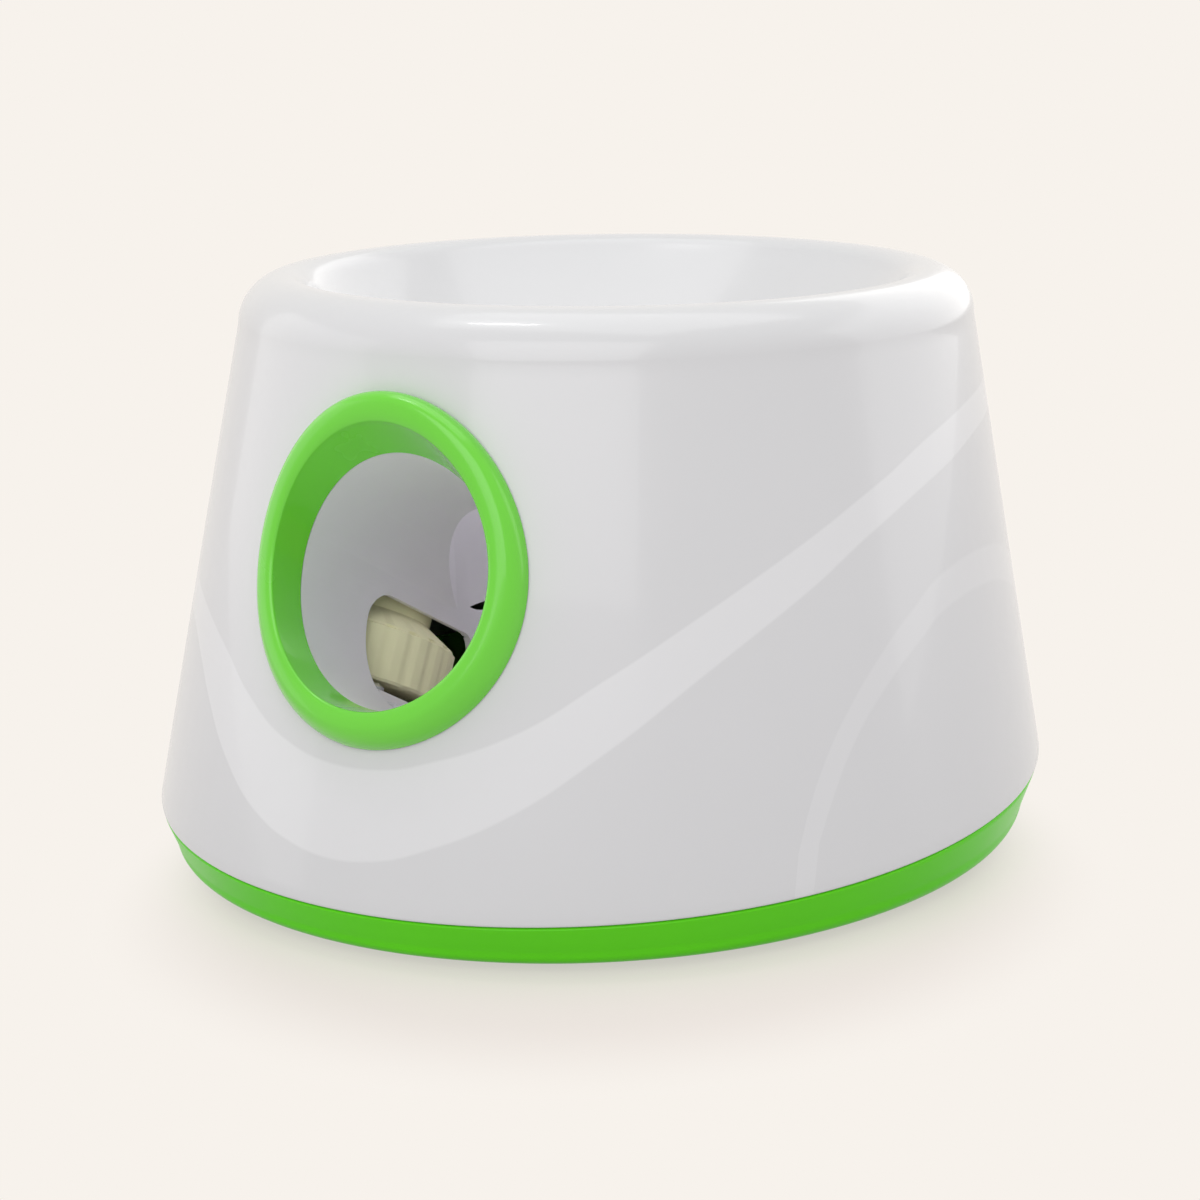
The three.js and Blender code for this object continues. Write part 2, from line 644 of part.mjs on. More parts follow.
// A screw boss with the rib that ties it to the wall
function housingBoss(x, y) {
  const boss = rod(BOSS_RADIUS, at(x, y, BOSS_JOIN_LEVEL), at(x, y, BOSS_HIGH_LEVEL), SMALL_SIDES);
  const out = Math.atan2(y, x);
  const rib = block(
    at(0, -BOSS_RIB_WALL / 2, BOSS_RIB_LOW_LEVEL),
    at(BOSS_RIB_REACH, BOSS_RIB_WALL / 2, BOSS_HIGH_LEVEL),
  );
  return join(boss, rib.rotateZ(out).translate(x, y, 0));
}

// The space inside the middle of the housing's wall, to trim what grows on its inside
function insideOfWall() {
  const rings = [{ radius: 0, level: FLOOR_LEVEL, middle: axisY(FLOOR_LEVEL), slope: 0 }];
  const inset = HOUSING_WALL / 2;
  for (let i = 0; i <= WALL_STEPS; i++) {
    const level = THREE.MathUtils.lerp(FLOOR_LEVEL, CREST_LEVEL - LIP_HEIGHT, i / WALL_STEPS);
    rings.push(bodyRing(wallRadius(level) - inset, level));
  }
  rings.push({ ...rings.at(-1), radius: 0 });
  return leaningForm(rings);
}

function portHole() {
  const radius = CREASE_RADIUS + SLEEVE_WALL + GAP;
  const hole = rod(radius, at(0, -RING_OUTER_RADIUS, 0), at(0, radius, 0), BORE_SIDES);
  return hole.scale(1, 1, RING_TALL).translate(0, 0, RING_RISE).applyMatrix4(launchMatrix);
}

function upperHousing() {
  const bosses = BOSSES.map(([x, y]) => housingBoss(x, y));
  const screwTop = HEAD_SEAT_LEVEL + HOUSING_SCREW_LENGTH + GAP;
  const screwHoles = BOSSES.map(([x, y]) =>
    rod(SCREW_RADIUS + GAP, at(x, y, BOSS_JOIN_LEVEL - OVERRUN), at(x, y, screwTop), SMALL_SIDES),
  );
  const postsAndPins = [-1, 1].flatMap((side) => {
    const x = side * POST_SPREAD;
    const foot = at(x, POST_RISE, 0);
    return [
      onPanel(rod(POST_RADIUS, foot, at(x, POST_RISE, GAP - BOARD_DEPTH), SMALL_SIDES)),
      onPanel(rod(PIN_RADIUS, foot, at(x, POST_RISE, -PANEL_DEPTH - PIN_LENGTH), SMALL_SIDES)),
    ];
  });
  const grown = common(join(...postsAndPins, ...bosses), insideOfWall());
  const deep = -BUTTON_CAP - OVERRUN;
  const holes = [
    rod(BUTTON_RADIUS + BUTTON_CLEARANCE, at(0, 0, OVERRUN), at(0, 0, deep)),
    rod(JACK_RADIUS + GAP, at(0, -JACK_DROP, OVERRUN), at(0, -JACK_DROP, -JACK_LENGTH), SMALL_SIDES),
    ...lightPlaces().map((x) =>
      rod(LIGHT_RADIUS + GAP, at(x, LIGHT_RISE, OVERRUN), at(x, LIGHT_RISE, deep), SMALL_SIDES),
    ),
  ].map(onPanel);
  return cut(join(housingShell(), grown), portHole(), ...holes, ...screwHoles);
}

// Base pan

function panForm() {
  const rim = wallRadius(SEAM_LEVEL) - PAN_INSET;
  const inner = wallRadius(SEAM_LEVEL) - HOUSING_WALL - GAP;
  const rings = [{ radius: 0, level: FLOOR_LEVEL, middle: axisY(FLOOR_LEVEL), slope: 0 }];
  for (const [across, up] of quarterArc(CORNER_STEPS)) {
    rings.push(bodyRing(PAN_FLAT_RADIUS + PAN_CORNER * across, FLOOR_LEVEL + PAN_CORNER * (1 - up)));
  }
  rings.push(bodyRing(rim, SEAM_LEVEL - SEAM_EDGE));
  rings.push(bodyRing(rim - SEAM_EDGE, SEAM_LEVEL));
  const tongueTop = SEAM_LEVEL + TONGUE_HEIGHT;
  const tongueRadius = wallRadius(tongueTop) - HOUSING_WALL - GAP;
  rings.push(bodyRing(inner, SEAM_LEVEL));
  rings.push(bodyRing(tongueRadius, tongueTop));
  rings.push(bodyRing(tongueRadius - TONGUE_WALL, tongueTop));
  rings.push(bodyRing(inner - TONGUE_WALL, SEAM_LEVEL - PAN_WALL));
  rings.push({ ...bodyRing(PAN_FLAT_RADIUS - PAN_WALL, PAN_FLOOR), slope: 0 });
  rings.push({ radius: 0, level: PAN_FLOOR, middle: axisY(PAN_FLOOR), slope: 0 });
  return leaningForm(rings);
}

const CELL_PITCH = 2 * CELL_RADIUS + CELL_GAP;
const BAY_WIDTH = 2 * CELL_PITCH + CELL_GAP;
const BAY_OUTER_X = BAY_INNER_X - BAY_WIDTH;
const CELLS_FRONT_Y = BAY_FRONT_Y + GAP + CONTACT_PLATE + CONTACT_SPRING + GAP;
const CELLS_REAR_Y = CELLS_FRONT_Y + 2 * (CELL_LENGTH + GAP);
const BAY_REAR_Y = CELLS_REAR_Y + CONTACT_PLATE + GAP;
const CELL_LEVEL = FLOOR_LEVEL + DOOR_THICK + GAP + CELL_RADIUS;
const BAY_ROOF = CELL_LEVEL + CELL_RADIUS + GAP;
const DOOR_SCREW_X = BAY_OUTER_X - BAY_WALL - DOOR_SCREW_MARGIN - SCREW_HEAD_RADIUS;
const DOOR_SCREW_Y = (BAY_FRONT_Y + BAY_REAR_Y) / 2;
const DOOR_TAB_X = DOOR_SCREW_X - SCREW_HEAD_RADIUS - DOOR_SCREW_MARGIN;

function basePan() {
  const walls = block(
    at(BAY_OUTER_X - BAY_WALL, BAY_FRONT_Y - BAY_WALL, FLOOR_LEVEL + DOOR_THICK),
    at(BAY_INNER_X + BAY_WALL, BAY_REAR_Y + BAY_WALL, BAY_ROOF + BAY_ROOF_WALL),
  );
  const bay = block(at(BAY_OUTER_X, BAY_FRONT_Y, 0), at(BAY_INNER_X, BAY_REAR_Y, BAY_ROOF));
  const doorBoss = rod(
    BOSS_RADIUS,
    at(DOOR_SCREW_X, DOOR_SCREW_Y, FLOOR_LEVEL + DOOR_THICK),
    at(DOOR_SCREW_X, DOOR_SCREW_Y, PAN_FLOOR + MOUNT_SCREW_LENGTH),
    SMALL_SIDES,
  );
  const rooted = FLOOR_LEVEL + PAN_WALL / 2;
  const bosses = BOSSES.map(([x, y]) =>
    rod(BOSS_RADIUS, at(x, y, rooted), at(x, y, BOSS_JOIN_LEVEL - GAP), SMALL_SIDES),
  );
  const cradles = [CRADLE_FRONT_Y, CRADLE_REAR_Y].map((y) =>
    block(at(-CRADLE_HALF_WIDTH, y, rooted), at(CRADLE_HALF_WIDTH, y + CRADLE_WALL, CRADLE_TOP)),
  );
  const spaceEnd = at(0, BARREL_END + CRADLE_TOP, 0);
  const barrelSpace = rod(BARREL_RADIUS + GAP, at(0, 0, 0), spaceEnd, BORE_SIDES);
  const cradled = cut(join(...cradles), barrelSpace.applyMatrix4(launchMatrix));
  const screwHoles = BOSSES.flatMap(([x, y]) => [
    rod(SCREW_RADIUS + GAP, at(x, y, 0), at(x, y, BOSS_JOIN_LEVEL), SMALL_SIDES),
    rod(SCREW_HEAD_RADIUS + GAP, at(x, y, 0), at(x, y, HEAD_SEAT_LEVEL), SMALL_SIDES),
  ]);
  const doorHole = rod(
    SCREW_RADIUS + GAP,
    at(DOOR_SCREW_X, DOOR_SCREW_Y, 0),
    at(DOOR_SCREW_X, DOOR_SCREW_Y, PAN_FLOOR + MOUNT_SCREW_LENGTH - GAP - SCREW_RADIUS),
    SMALL_SIDES,
  );
  const footRecesses = FEET.map(([x, y]) =>
    rod(FOOT_RADIUS + GAP, at(x, y, 0), at(x, y, FLOOR_LEVEL + FOOT_RECESS)),
  );
  const doorSeat = doorForm(0, 0, FLOOR_LEVEL + DOOR_THICK);
  const whole = join(panForm(), walls, doorBoss, ...bosses, cradled);
  return cut(whole, bay, doorSeat, doorHole, ...screwHoles, ...footRecesses);
}

// The battery door's plate with its screw tab, drawn in from its seat by a margin
function doorForm(margin, low, high) {
  const plate = block(
    at(BAY_OUTER_X - DOOR_LEDGE + margin, BAY_FRONT_Y - DOOR_LEDGE + margin, low),
    at(BAY_INNER_X + DOOR_LEDGE - margin, BAY_REAR_Y + DOOR_LEDGE - margin, high),
  );
  const tab = block(
    at(DOOR_TAB_X + margin, DOOR_SCREW_Y - DOOR_TAB_HALF_WIDTH + margin, low),
    at(BAY_OUTER_X, DOOR_SCREW_Y + DOOR_TAB_HALF_WIDTH - margin, high),
  );
  return join(plate, tab);
}

function batteryDoor() {
  const holeTop = at(DOOR_SCREW_X, DOOR_SCREW_Y, PAN_FLOOR);
  const hole = rod(SCREW_RADIUS + GAP, at(DOOR_SCREW_X, DOOR_SCREW_Y, 0), holeTop, SMALL_SIDES);
  return cut(doorForm(GAP, FLOOR_LEVEL, FLOOR_LEVEL + DOOR_THICK - GAP), hole);
}

function batteryCell() {
  const body = CELL_LENGTH - CELL_NUB;
  return turned([
    [0, 0],
    [CELL_RADIUS - CELL_CORNER, 0],
    [CELL_RADIUS, CELL_CORNER],
    [CELL_RADIUS, body - CELL_CORNER],
    [CELL_RADIUS - CELL_CORNER, body],
    [CELL_NUB_RADIUS, body],
    [CELL_NUB_RADIUS, CELL_LENGTH],
    [0, CELL_LENGTH],
  ]).rotateX(-Math.PI / 2);
}

function cellMiddles() {
  return CELL_ROW_SHARES.map((share) => BAY_OUTER_X + CELL_GAP + share * CELL_PITCH - CELL_GAP / 2);
}

function contactPlate(y, springHeight) {
  const plate = block(
    at(BAY_OUTER_X + CELL_GAP, y, CELL_LEVEL - CELL_RADIUS),
    at(BAY_INNER_X - CELL_GAP, y + CONTACT_PLATE, CELL_LEVEL + CELL_RADIUS),
  );
  if (!springHeight) return plate;
  const cones = cellMiddles().map((x) =>
    turned([
      [0, 0],
      [CONTACT_SPRING_RADIUS, 0],
      [CONTACT_TIP_RADIUS, springHeight],
      [0, springHeight],
    ], SMALL_SIDES)
      .rotateX(-Math.PI / 2)
      .translate(x, y + CONTACT_PLATE / 2, CELL_LEVEL),
  );
  return join(plate, ...cones);
}

// A form turned about the launch axis from rows of radius, depth, height share and rise. A depth that
// follows is counted from the outer wall, so that row takes the wall's curve. Others are counted from the
// port's middle
function followingForm(rows) {
  const closedRows = [...rows, rows[0]];
  const profile = closedRows.map((row) => new THREE.Vector2(row.radius, row.depth));
  const form = new THREE.LatheGeometry(profile, PORT_SIDES);
  const position = form.getAttribute("position");
  for (let i = 0; i < position.count; i++) {
    const row = closedRows[i % closedRows.length];
    const x = position.getX(i);
    const above = position.getZ(i) * row.tall + row.rise;
    const wall = row.follow ? wallDepth(x, above) : 0;
    position.setXYZ(i, x, row.depth + wall, above);
  }
  return form;
}

// Port ring: a rounded bead on the wall, and the cone-shaped sleeve that leads in to the barrel
function portRing() {
  const rows = [];
  const onWall = { follow: true, tall: RING_TALL, rise: RING_RISE };
  const onBore = { depth: SLEEVE_DEPTH, follow: true, tall: 1, rise: 0 };
  const rise = RING_STAND - RING_LIFT;
  for (const [across, up] of quarterArc(BEAD_STEPS)) {
    const radius = THREE.MathUtils.lerp(RING_OUTER_RADIUS, RING_CREST_RADIUS, 1 - up);
    rows.push({ radius, depth: -RING_LIFT - rise * across, ...onWall });
  }
  for (const [across, up] of quarterArc(BEAD_STEPS).slice(1)) {
    const radius = THREE.MathUtils.lerp(RING_CREST_RADIUS, CREASE_RADIUS, across);
    const depth = THREE.MathUtils.lerp(-CREASE_STAND, -RING_STAND, up);
    rows.push({ radius, depth, ...onWall });
  }
  rows.push({ radius: BORE_RADIUS, ...onBore });
  rows.push({ radius: BORE_RADIUS + SLEEVE_WALL, ...onBore });
  rows.push({ radius: CREASE_RADIUS + SLEEVE_WALL, depth: -RING_LIFT, ...onWall });
  return followingForm(rows);
}

// Launch barrel, in the launch frame
function launchBarrel() {
  const front = { depth: SLEEVE_DEPTH + GAP, follow: true, tall: 1, rise: 0 };
  const rear = BARREL_END;
  const straight = { follow: false, tall: 1, rise: 0 };
  const tube = followingForm([
    { radius: BORE_RADIUS, ...front },
    { radius: BARREL_RADIUS, ...front },
    { radius: BARREL_RADIUS, depth: rear, ...straight },
    { radius: STOP_OPENING_RADIUS / 2, depth: rear, ...straight },
    { radius: STOP_OPENING_RADIUS / 2, depth: STOP_AT, ...straight },
    { radius: BORE_RADIUS, depth: STOP_AT, ...straight },
  ]);
  const intakeTop = THROAT_LEVEL - THROAT_ROUND;
  const intakeFoot = at(0, THROAT_Y, INTAKE_LOW_LEVEL);
  const intake = rod(INTAKE_RADIUS + INTAKE_WALL, intakeFoot, at(0, THROAT_Y, intakeTop), BORE_SIDES);
  const lugs = [-1, 1].flatMap((side) =>
    [-1, 1].map((end) => {
      const middle = WHEEL_AT + end * LUG_SPREAD;
      const inner = Math.min(side * LUG_INNER, side * LUG_OUTER);
      const outer = Math.max(side * LUG_INNER, side * LUG_OUTER);
      return block(
        at(inner, middle - LUG_WIDTH / 2, LUG_TOP - LUG_HEIGHT),
        at(outer, middle + LUG_WIDTH / 2, LUG_TOP),
      );
    }),
  );
  const windowed = cut(join(tube, intake.applyMatrix4(launchInverse)), wheelWindow(-1), wheelWindow(1));
  const outer = join(windowed, ...lugs);
  const bore = rod(BORE_RADIUS, at(0, BORE_RADIUS, 0), at(0, STOP_AT, 0), BORE_SIDES);
  const ballDrop = rod(INTAKE_RADIUS, launchDropFoot(), at(0, THROAT_Y, intakeTop + OVERRUN), BORE_SIDES);
  const far = BODY_RADIUS * 2;
  const beyondStop = block(at(-far, STOP_AT, -far), at(far, far, far));
  const drop = cut(ballDrop.applyMatrix4(launchInverse), beyondStop);
  const stopHole = rod(
    STOP_OPENING_RADIUS,
    at(0, STOP_AT - OVERRUN, -BALL_DROP),
    at(0, rear + OVERRUN, -BALL_DROP),
  );
  const sensors = rod(SENSOR_RADIUS + GAP, at(-far, SENSOR_AT, 0), at(far, SENSOR_AT, 0), SMALL_SIDES);
  const screwHoles = [-1, 1].flatMap((side) =>
    [-1, 1].map((end) => {
      const x = side * LUG_SCREW_AT;
      const along = WHEEL_AT + end * LUG_SPREAD;
      const low = at(x, along, LUG_TOP - LUG_HEIGHT - OVERRUN);
      return rod(SCREW_RADIUS + GAP, low, at(x, along, LUG_TOP + OVERRUN), SMALL_SIDES);
    }),
  );
  return largest(cut(outer, bore, drop, stopHole, sensors, ...screwHoles));
}

// The lowest point of the drop shaft's cutter: level with the ball at rest
function launchDropFoot() {
  return at(0, THROAT_Y, launchPoint(BALL_REST, -BALL_DROP).z);
}

// A rounded window in the barrel's side, through which the wheel meets the ball
function wheelWindow(side) {
  const outline = new THREE.Shape();
  const r = WINDOW_ROUND;
  outline.moveTo(WINDOW_FRONT + r, WINDOW_BOTTOM);
  outline.lineTo(WINDOW_BACK - r, WINDOW_BOTTOM);
  outline.absarc(WINDOW_BACK - r, WINDOW_BOTTOM + r, r, -Math.PI / 2, 0);
  outline.lineTo(WINDOW_BACK, WINDOW_TOP - r);
  outline.absarc(WINDOW_BACK - r, WINDOW_TOP - r, r, 0, Math.PI / 2);
  outline.lineTo(WINDOW_FRONT + r, WINDOW_TOP);
  outline.absarc(WINDOW_FRONT + r, WINDOW_TOP - r, r, Math.PI / 2, Math.PI);
  outline.lineTo(WINDOW_FRONT, WINDOW_BOTTOM + r);
  outline.absarc(WINDOW_FRONT + r, WINDOW_BOTTOM + r, r, Math.PI, Math.PI * 1.5);
  const outer = INTAKE_RADIUS + INTAKE_WALL + OVERRUN;
  const low = side < 0 ? -outer : WINDOW_INNER;
  const high = side < 0 ? -WINDOW_INNER : outer;
  const opening = acrossX(outline, low, high);
  const sweep = rod(
    WHEEL_RADIUS + OVERRUN,
    at(side * WHEEL_OFFSET, WHEEL_AT, MOUNT_BOTTOM - GAP),
    at(side * WHEEL_OFFSET, WHEEL_AT, SHOULDER_TOP + OVERRUN),
    BORE_SIDES,
  );
  return join(opening, sweep);
}

// Launch wheel, about its own axis
function wheelTyre() {
  const outline = new THREE.Shape();
  const steps = RIB_COUNT * 2;
  for (let i = 0; i < steps; i++) {
    const radius = i % 2 ? WHEEL_RADIUS - RIB_DEPTH : WHEEL_RADIUS;
    for (const edge of RIB_EDGE_SHARES) {
      const turn = ((i + edge) * Math.PI * 2) / steps;
      const x = radius * Math.cos(turn);
      const y = radius * Math.sin(turn);
      if (i === 0 && edge < 0) outline.moveTo(x, y);
      else outline.lineTo(x, y);
    }
  }
  const height = RIB_TOP - WHEEL_BOTTOM;
  const ribbed = new THREE.ExtrudeGeometry(outline, { depth: height, bevelEnabled: false });
  ribbed.translate(0, 0, WHEEL_BOTTOM);
  const crown = turned([
    [0, RIB_TOP - RIB_DEPTH],
    [WHEEL_RADIUS - RIB_DEPTH, RIB_TOP - RIB_DEPTH],
    [WHEEL_RADIUS, RIB_TOP],
    [CAP_RADIUS, SHOULDER_TOP],
    [CAP_RADIUS, WHEEL_TOP],
    [0, WHEEL_TOP],
  ], BORE_SIDES);
  const bore = rod(TYRE_BORE, at(0, 0, WHEEL_BOTTOM - OVERRUN), at(0, 0, WHEEL_TOP + OVERRUN));
  return cut(join(ribbed, crown), bore);
}

function wheelHub() {
  const rim = TYRE_BORE - GAP;
  const bore = MOTOR_SHAFT_RADIUS + GAP;
  const webLow = (WHEEL_BOTTOM + WHEEL_TOP) / 2 - HUB_WEB / 2;
  const webHigh = webLow + HUB_WEB;
  return turned([
    [bore, WHEEL_BOTTOM],
    [HUB_BOSS_RADIUS, WHEEL_BOTTOM],
    [HUB_BOSS_RADIUS, webLow],
    [rim - HUB_RIM, webLow],
    [rim - HUB_RIM, WHEEL_BOTTOM + HUB_RIM],
    [rim, WHEEL_BOTTOM + HUB_RIM],
    [rim, WHEEL_TOP - HUB_RIM],
    [rim - HUB_RIM, WHEEL_TOP - HUB_RIM],
    [rim - HUB_RIM, webHigh],
    [HUB_BOSS_RADIUS, webHigh],
    [HUB_BOSS_RADIUS, webHigh + HUB_WEB],
    [bore, webHigh + HUB_WEB],
    [bore, WHEEL_BOTTOM],
  ]);
}

function motorShaft() {
  const top = (WHEEL_BOTTOM + WHEEL_TOP) / 2 + HUB_WEB;
  return rod(MOTOR_SHAFT_RADIUS, at(0, 0, MOUNT_BOTTOM - MOTOR_SHAFT_DEPTH), at(0, 0, top), SMALL_SIDES);
}

function wheelMotor() {
  const top = MOUNT_BOTTOM - GAP;
  const bottom = top - MOTOR_LENGTH;
  const can = turned([
    [0, bottom],
    [MOTOR_RADIUS - MOTOR_CHAMFER, bottom],
    [MOTOR_RADIUS, bottom + MOTOR_CHAMFER],
    [MOTOR_RADIUS, top - MOTOR_CHAMFER],
    [MOTOR_RADIUS - MOTOR_CHAMFER, top],
    [MOTOR_NOSE_RADIUS, top],
    [MOTOR_NOSE_RADIUS, top + MOTOR_NOSE],
    [0, top + MOTOR_NOSE],
  ]);
  const boreEnd = at(0, 0, MOUNT_BOTTOM - MOTOR_SHAFT_DEPTH - GAP);
  const boreTop = at(0, 0, top + MOTOR_NOSE + OVERRUN);
  return cut(can, rod(MOTOR_SHAFT_RADIUS + GAP, boreEnd, boreTop, SMALL_SIDES));
}

// Motor mount, in the launch frame
function motorMount(side) {
  const low = at(Math.min(0, side * MOUNT_OUTER), WHEEL_AT - MOUNT_LENGTH / 2, MOUNT_BOTTOM);
  const high = at(Math.max(0, side * MOUNT_OUTER), WHEEL_AT + MOUNT_LENGTH / 2, MOUNT_TOP);
  const barrel = rod(BARREL_RADIUS + GAP, at(0, 0, 0), at(0, PLATE_REAR, 0), BORE_SIDES);
  const through = (radius, x, along, sides) =>
    rod(radius, at(x, along, MOUNT_BOTTOM - OVERRUN), at(x, along, MOUNT_TOP + OVERRUN), sides);
  const nose = through(MOTOR_NOSE_RADIUS + GAP, side * WHEEL_OFFSET, WHEEL_AT, ROUND_SIDES);
  const screwHoles = [-1, 1].map((end) =>
    through(SCREW_RADIUS + GAP, side * LUG_SCREW_AT, WHEEL_AT + end * LUG_SPREAD, SMALL_SIDES),
  );
  return cut(block(low, high), barrel, nose, ...screwHoles);
}

// A screw with a domed head: its shank points down from the head's seat
function screw(length) {
  return turned([
    [0, -length],
    [SCREW_RADIUS, -length + SCREW_RADIUS],
    [SCREW_RADIUS, 0],
    [SCREW_HEAD_RADIUS, 0],
    [SCREW_HEAD_RADIUS, SCREW_HEAD / 2],
    [SCREW_HEAD_RADIUS / 2, SCREW_HEAD],
    [0, SCREW_HEAD],
  ], SMALL_SIDES);
}

// Gears

function involute(angle) {
  return Math.tan(angle) - angle;
}

// Half the angle of a tooth at a radius
function toothHalfAngle(teeth, module, radius) {
  const pitchRadius = (teeth * module) / 2;
  const base = pitchRadius * Math.cos(PRESSURE_ANGLE);
  const atPitch = ((Math.PI * module) / 2 - BACKLASH / 2) / 2 / pitchRadius;
  const angle = Math.acos(Math.min(1, base / Math.max(radius, base)));
  return atPitch + involute(PRESSURE_ANGLE) - involute(angle);
}

function gearOutline(teeth, module, firstTooth) {
  const pitchRadius = (teeth * module) / 2;
  const radii = [pitchRadius - DEDENDUM_SHARE * module, pitchRadius, pitchRadius + ADDENDUM_SHARE * module];
  const outline = [];
  for (let i = 0; i < teeth; i++) {
    const middle = firstTooth + (i * Math.PI * 2) / teeth;
    const flank = radii.map((radius) => [radius, toothHalfAngle(teeth, module, radius)]);
    const rising = flank.map(([radius, half]) => [radius, middle - half]);
    const falling = flank.map(([radius, half]) => [radius, middle + half]).reverse();
    for (const [radius, turn] of [...rising, ...falling]) {
      outline.push([radius * Math.cos(turn), radius * Math.sin(turn)]);
    }
  }
  return outlineOf(outline);
}

// Rack teeth along the pusher rod, a gap centred on the pinion
function rackOutline() {
  const pitch = Math.PI * RACK_MODULE;
  const tip = RACK_PITCH_LINE + ADDENDUM_SHARE * RACK_MODULE;
  const root = RACK_PITCH_LINE - DEDENDUM_SHARE * RACK_MODULE;
  const half = (pitch - BACKLASH) / 2 / 2;
  const lean = Math.tan(PRESSURE_ANGLE);
  const points = [[RACK_START, ROD_BOTTOM], [ROD_END, ROD_BOTTOM], [ROD_END, root]];
  const before = Math.floor((FEED_GEAR_AT - RACK_START) / pitch - 0.5);
  const after = Math.floor((ROD_END - FEED_GEAR_AT) / pitch - 0.5);
  for (let i = after; i >= -before; i--) {
    const middle = FEED_GEAR_AT + (i - 0.5) * pitch;
    points.push([middle + half + lean * (RACK_PITCH_LINE - root), root]);
    points.push([middle + half - lean * (tip - RACK_PITCH_LINE), tip]);
    points.push([middle - half + lean * (tip - RACK_PITCH_LINE), tip]);
    points.push([middle - half - lean * (RACK_PITCH_LINE - root), root]);
  }
  points.push([RACK_START, root]);
  return outlineOf(points);
}

// Feeder pieces, in the launch frame
function feedPusher() {
  const root = RACK_PITCH_LINE - DEDENDUM_SHARE * RACK_MODULE;
  const face = turned([
    [0, PUSHER_AT + PUSHER_DISH],
    [PUSHER_RADIUS - PUSHER_FACE, PUSHER_AT],
    [PUSHER_RADIUS, PUSHER_AT + PUSHER_DISH],
    [PUSHER_RADIUS, PUSHER_AT + PUSHER_FACE],
    [0, PUSHER_AT + PUSHER_FACE],
  ])
    .rotateX(-Math.PI / 2)
    .scale(1, 1, -1)
    .translate(0, 0, -BALL_DROP);
  const neck = block(
    at(-ROD_HALF_WIDTH, PUSHER_AT + PUSHER_DISH + GAP, ROD_BOTTOM),
    at(ROD_HALF_WIDTH, RACK_START + GAP, root),
  );
  const rack = acrossX(rackOutline(), -ROD_HALF_WIDTH, ROD_HALF_WIDTH);
  return join(face, neck, rack);
}

function pusherGuide() {
  const side = PLATE_INNER - GAP;
  const plate = block(at(-side, GUIDE_FRONT, GUIDE_BOTTOM), at(side, GUIDE_FRONT + GUIDE_LENGTH, GUIDE_TOP));
  const tip = RACK_PITCH_LINE + ADDENDUM_SHARE * RACK_MODULE;
  const way = block(
    at(-ROD_HALF_WIDTH - GAP, GUIDE_FRONT - OVERRUN, ROD_BOTTOM - GAP),
    at(ROD_HALF_WIDTH + GAP, GUIDE_FRONT + GUIDE_LENGTH + OVERRUN, tip + GAP),
  );
  return cut(plate, way);
}

const RACK_PINION_RADIUS = (RACK_PINION_TEETH * RACK_MODULE) / 2;
const FEED_GEAR_ABOVE = RACK_PITCH_LINE + RACK_PINION_RADIUS;
const FEED_WHEEL_RADIUS = (FEED_WHEEL_TEETH * WHEEL_MODULE) / 2;
const MOTOR_PINION_RADIUS = (MOTOR_PINION_TEETH * WHEEL_MODULE) / 2;
const PINION_REACH = FEED_WHEEL_RADIUS + MOTOR_PINION_RADIUS;
const MOTOR_AT = FEED_GEAR_AT + PINION_REACH * Math.cos(MOTOR_PINION_ANGLE);
const MOTOR_ABOVE = FEED_GEAR_ABOVE + PINION_REACH * Math.sin(MOTOR_PINION_ANGLE);

// Compound gear about its own axis: the rack's pinion and the wheel that the motor turns
function feedGear() {
  const downTooth = -Math.PI / 2;
  const pinionOutline = gearOutline(RACK_PINION_TEETH, RACK_MODULE, downTooth);
  const pinion = acrossX(pinionOutline, -RACK_PINION_HALF_WIDTH, RACK_PINION_HALF_WIDTH);
  const outer = FEED_WHEEL_INNER + FEED_WHEEL_WIDTH;
  const wheelOutline = gearOutline(FEED_WHEEL_TEETH, WHEEL_MODULE, MOTOR_PINION_ANGLE);
  const wheel = acrossX(wheelOutline, FEED_WHEEL_INNER, outer);
  const hubRadius = RACK_PINION_RADIUS - DEDENDUM_SHARE * RACK_MODULE - GAP;
  const hub = rod(hubRadius, at(-PLATE_INNER + GAP, 0, 0), at(PLATE_INNER - GAP, 0, 0));
  const bore = rod(FEED_SHAFT_RADIUS + SHAFT_GAP, at(-PLATE_INNER, 0, 0), at(PLATE_INNER, 0, 0), SMALL_SIDES);
  return cut(join(hub, pinion, wheel), bore);
}

function feederPinion() {
  const toothGap = MOTOR_PINION_ANGLE + Math.PI + Math.PI / MOTOR_PINION_TEETH;
  const low = FEED_WHEEL_INNER - GAP;
  const outline = gearOutline(MOTOR_PINION_TEETH, WHEEL_MODULE, toothGap);
  const teeth = acrossX(outline, low, low + MOTOR_PINION_WIDTH);
  const shaftEnd = PLATE_INNER + PLATE_WALL + FEEDER_NECK_RADIUS;
  return join(teeth, rod(FEED_SHAFT_RADIUS, at(low + GAP, 0, 0), at(shaftEnd, 0, 0), SMALL_SIDES));
}

function feedShaft() {
  const end = PLATE_INNER + PLATE_WALL;
  return rod(FEED_SHAFT_RADIUS, at(-end, 0, 0), at(end, 0, 0), SMALL_SIDES);
}

function feederMotor() {
  const face = PLATE_INNER + PLATE_WALL + GAP;
  const can = rod(FEEDER_MOTOR_RADIUS, at(face, 0, 0), at(face + FEEDER_MOTOR_LENGTH, 0, 0));
  const neck = rod(FEEDER_NECK_RADIUS, at(face - PLATE_WALL, 0, 0), at(face + GAP, 0, 0), SMALL_SIDES);
  const boreEnd = PLATE_INNER + PLATE_WALL + FEEDER_NECK_RADIUS + GAP;
  const bore = rod(FEED_SHAFT_RADIUS + GAP, at(0, 0, 0), at(boreEnd, 0, 0), SMALL_SIDES);
  return cut(join(can, neck), bore);
}

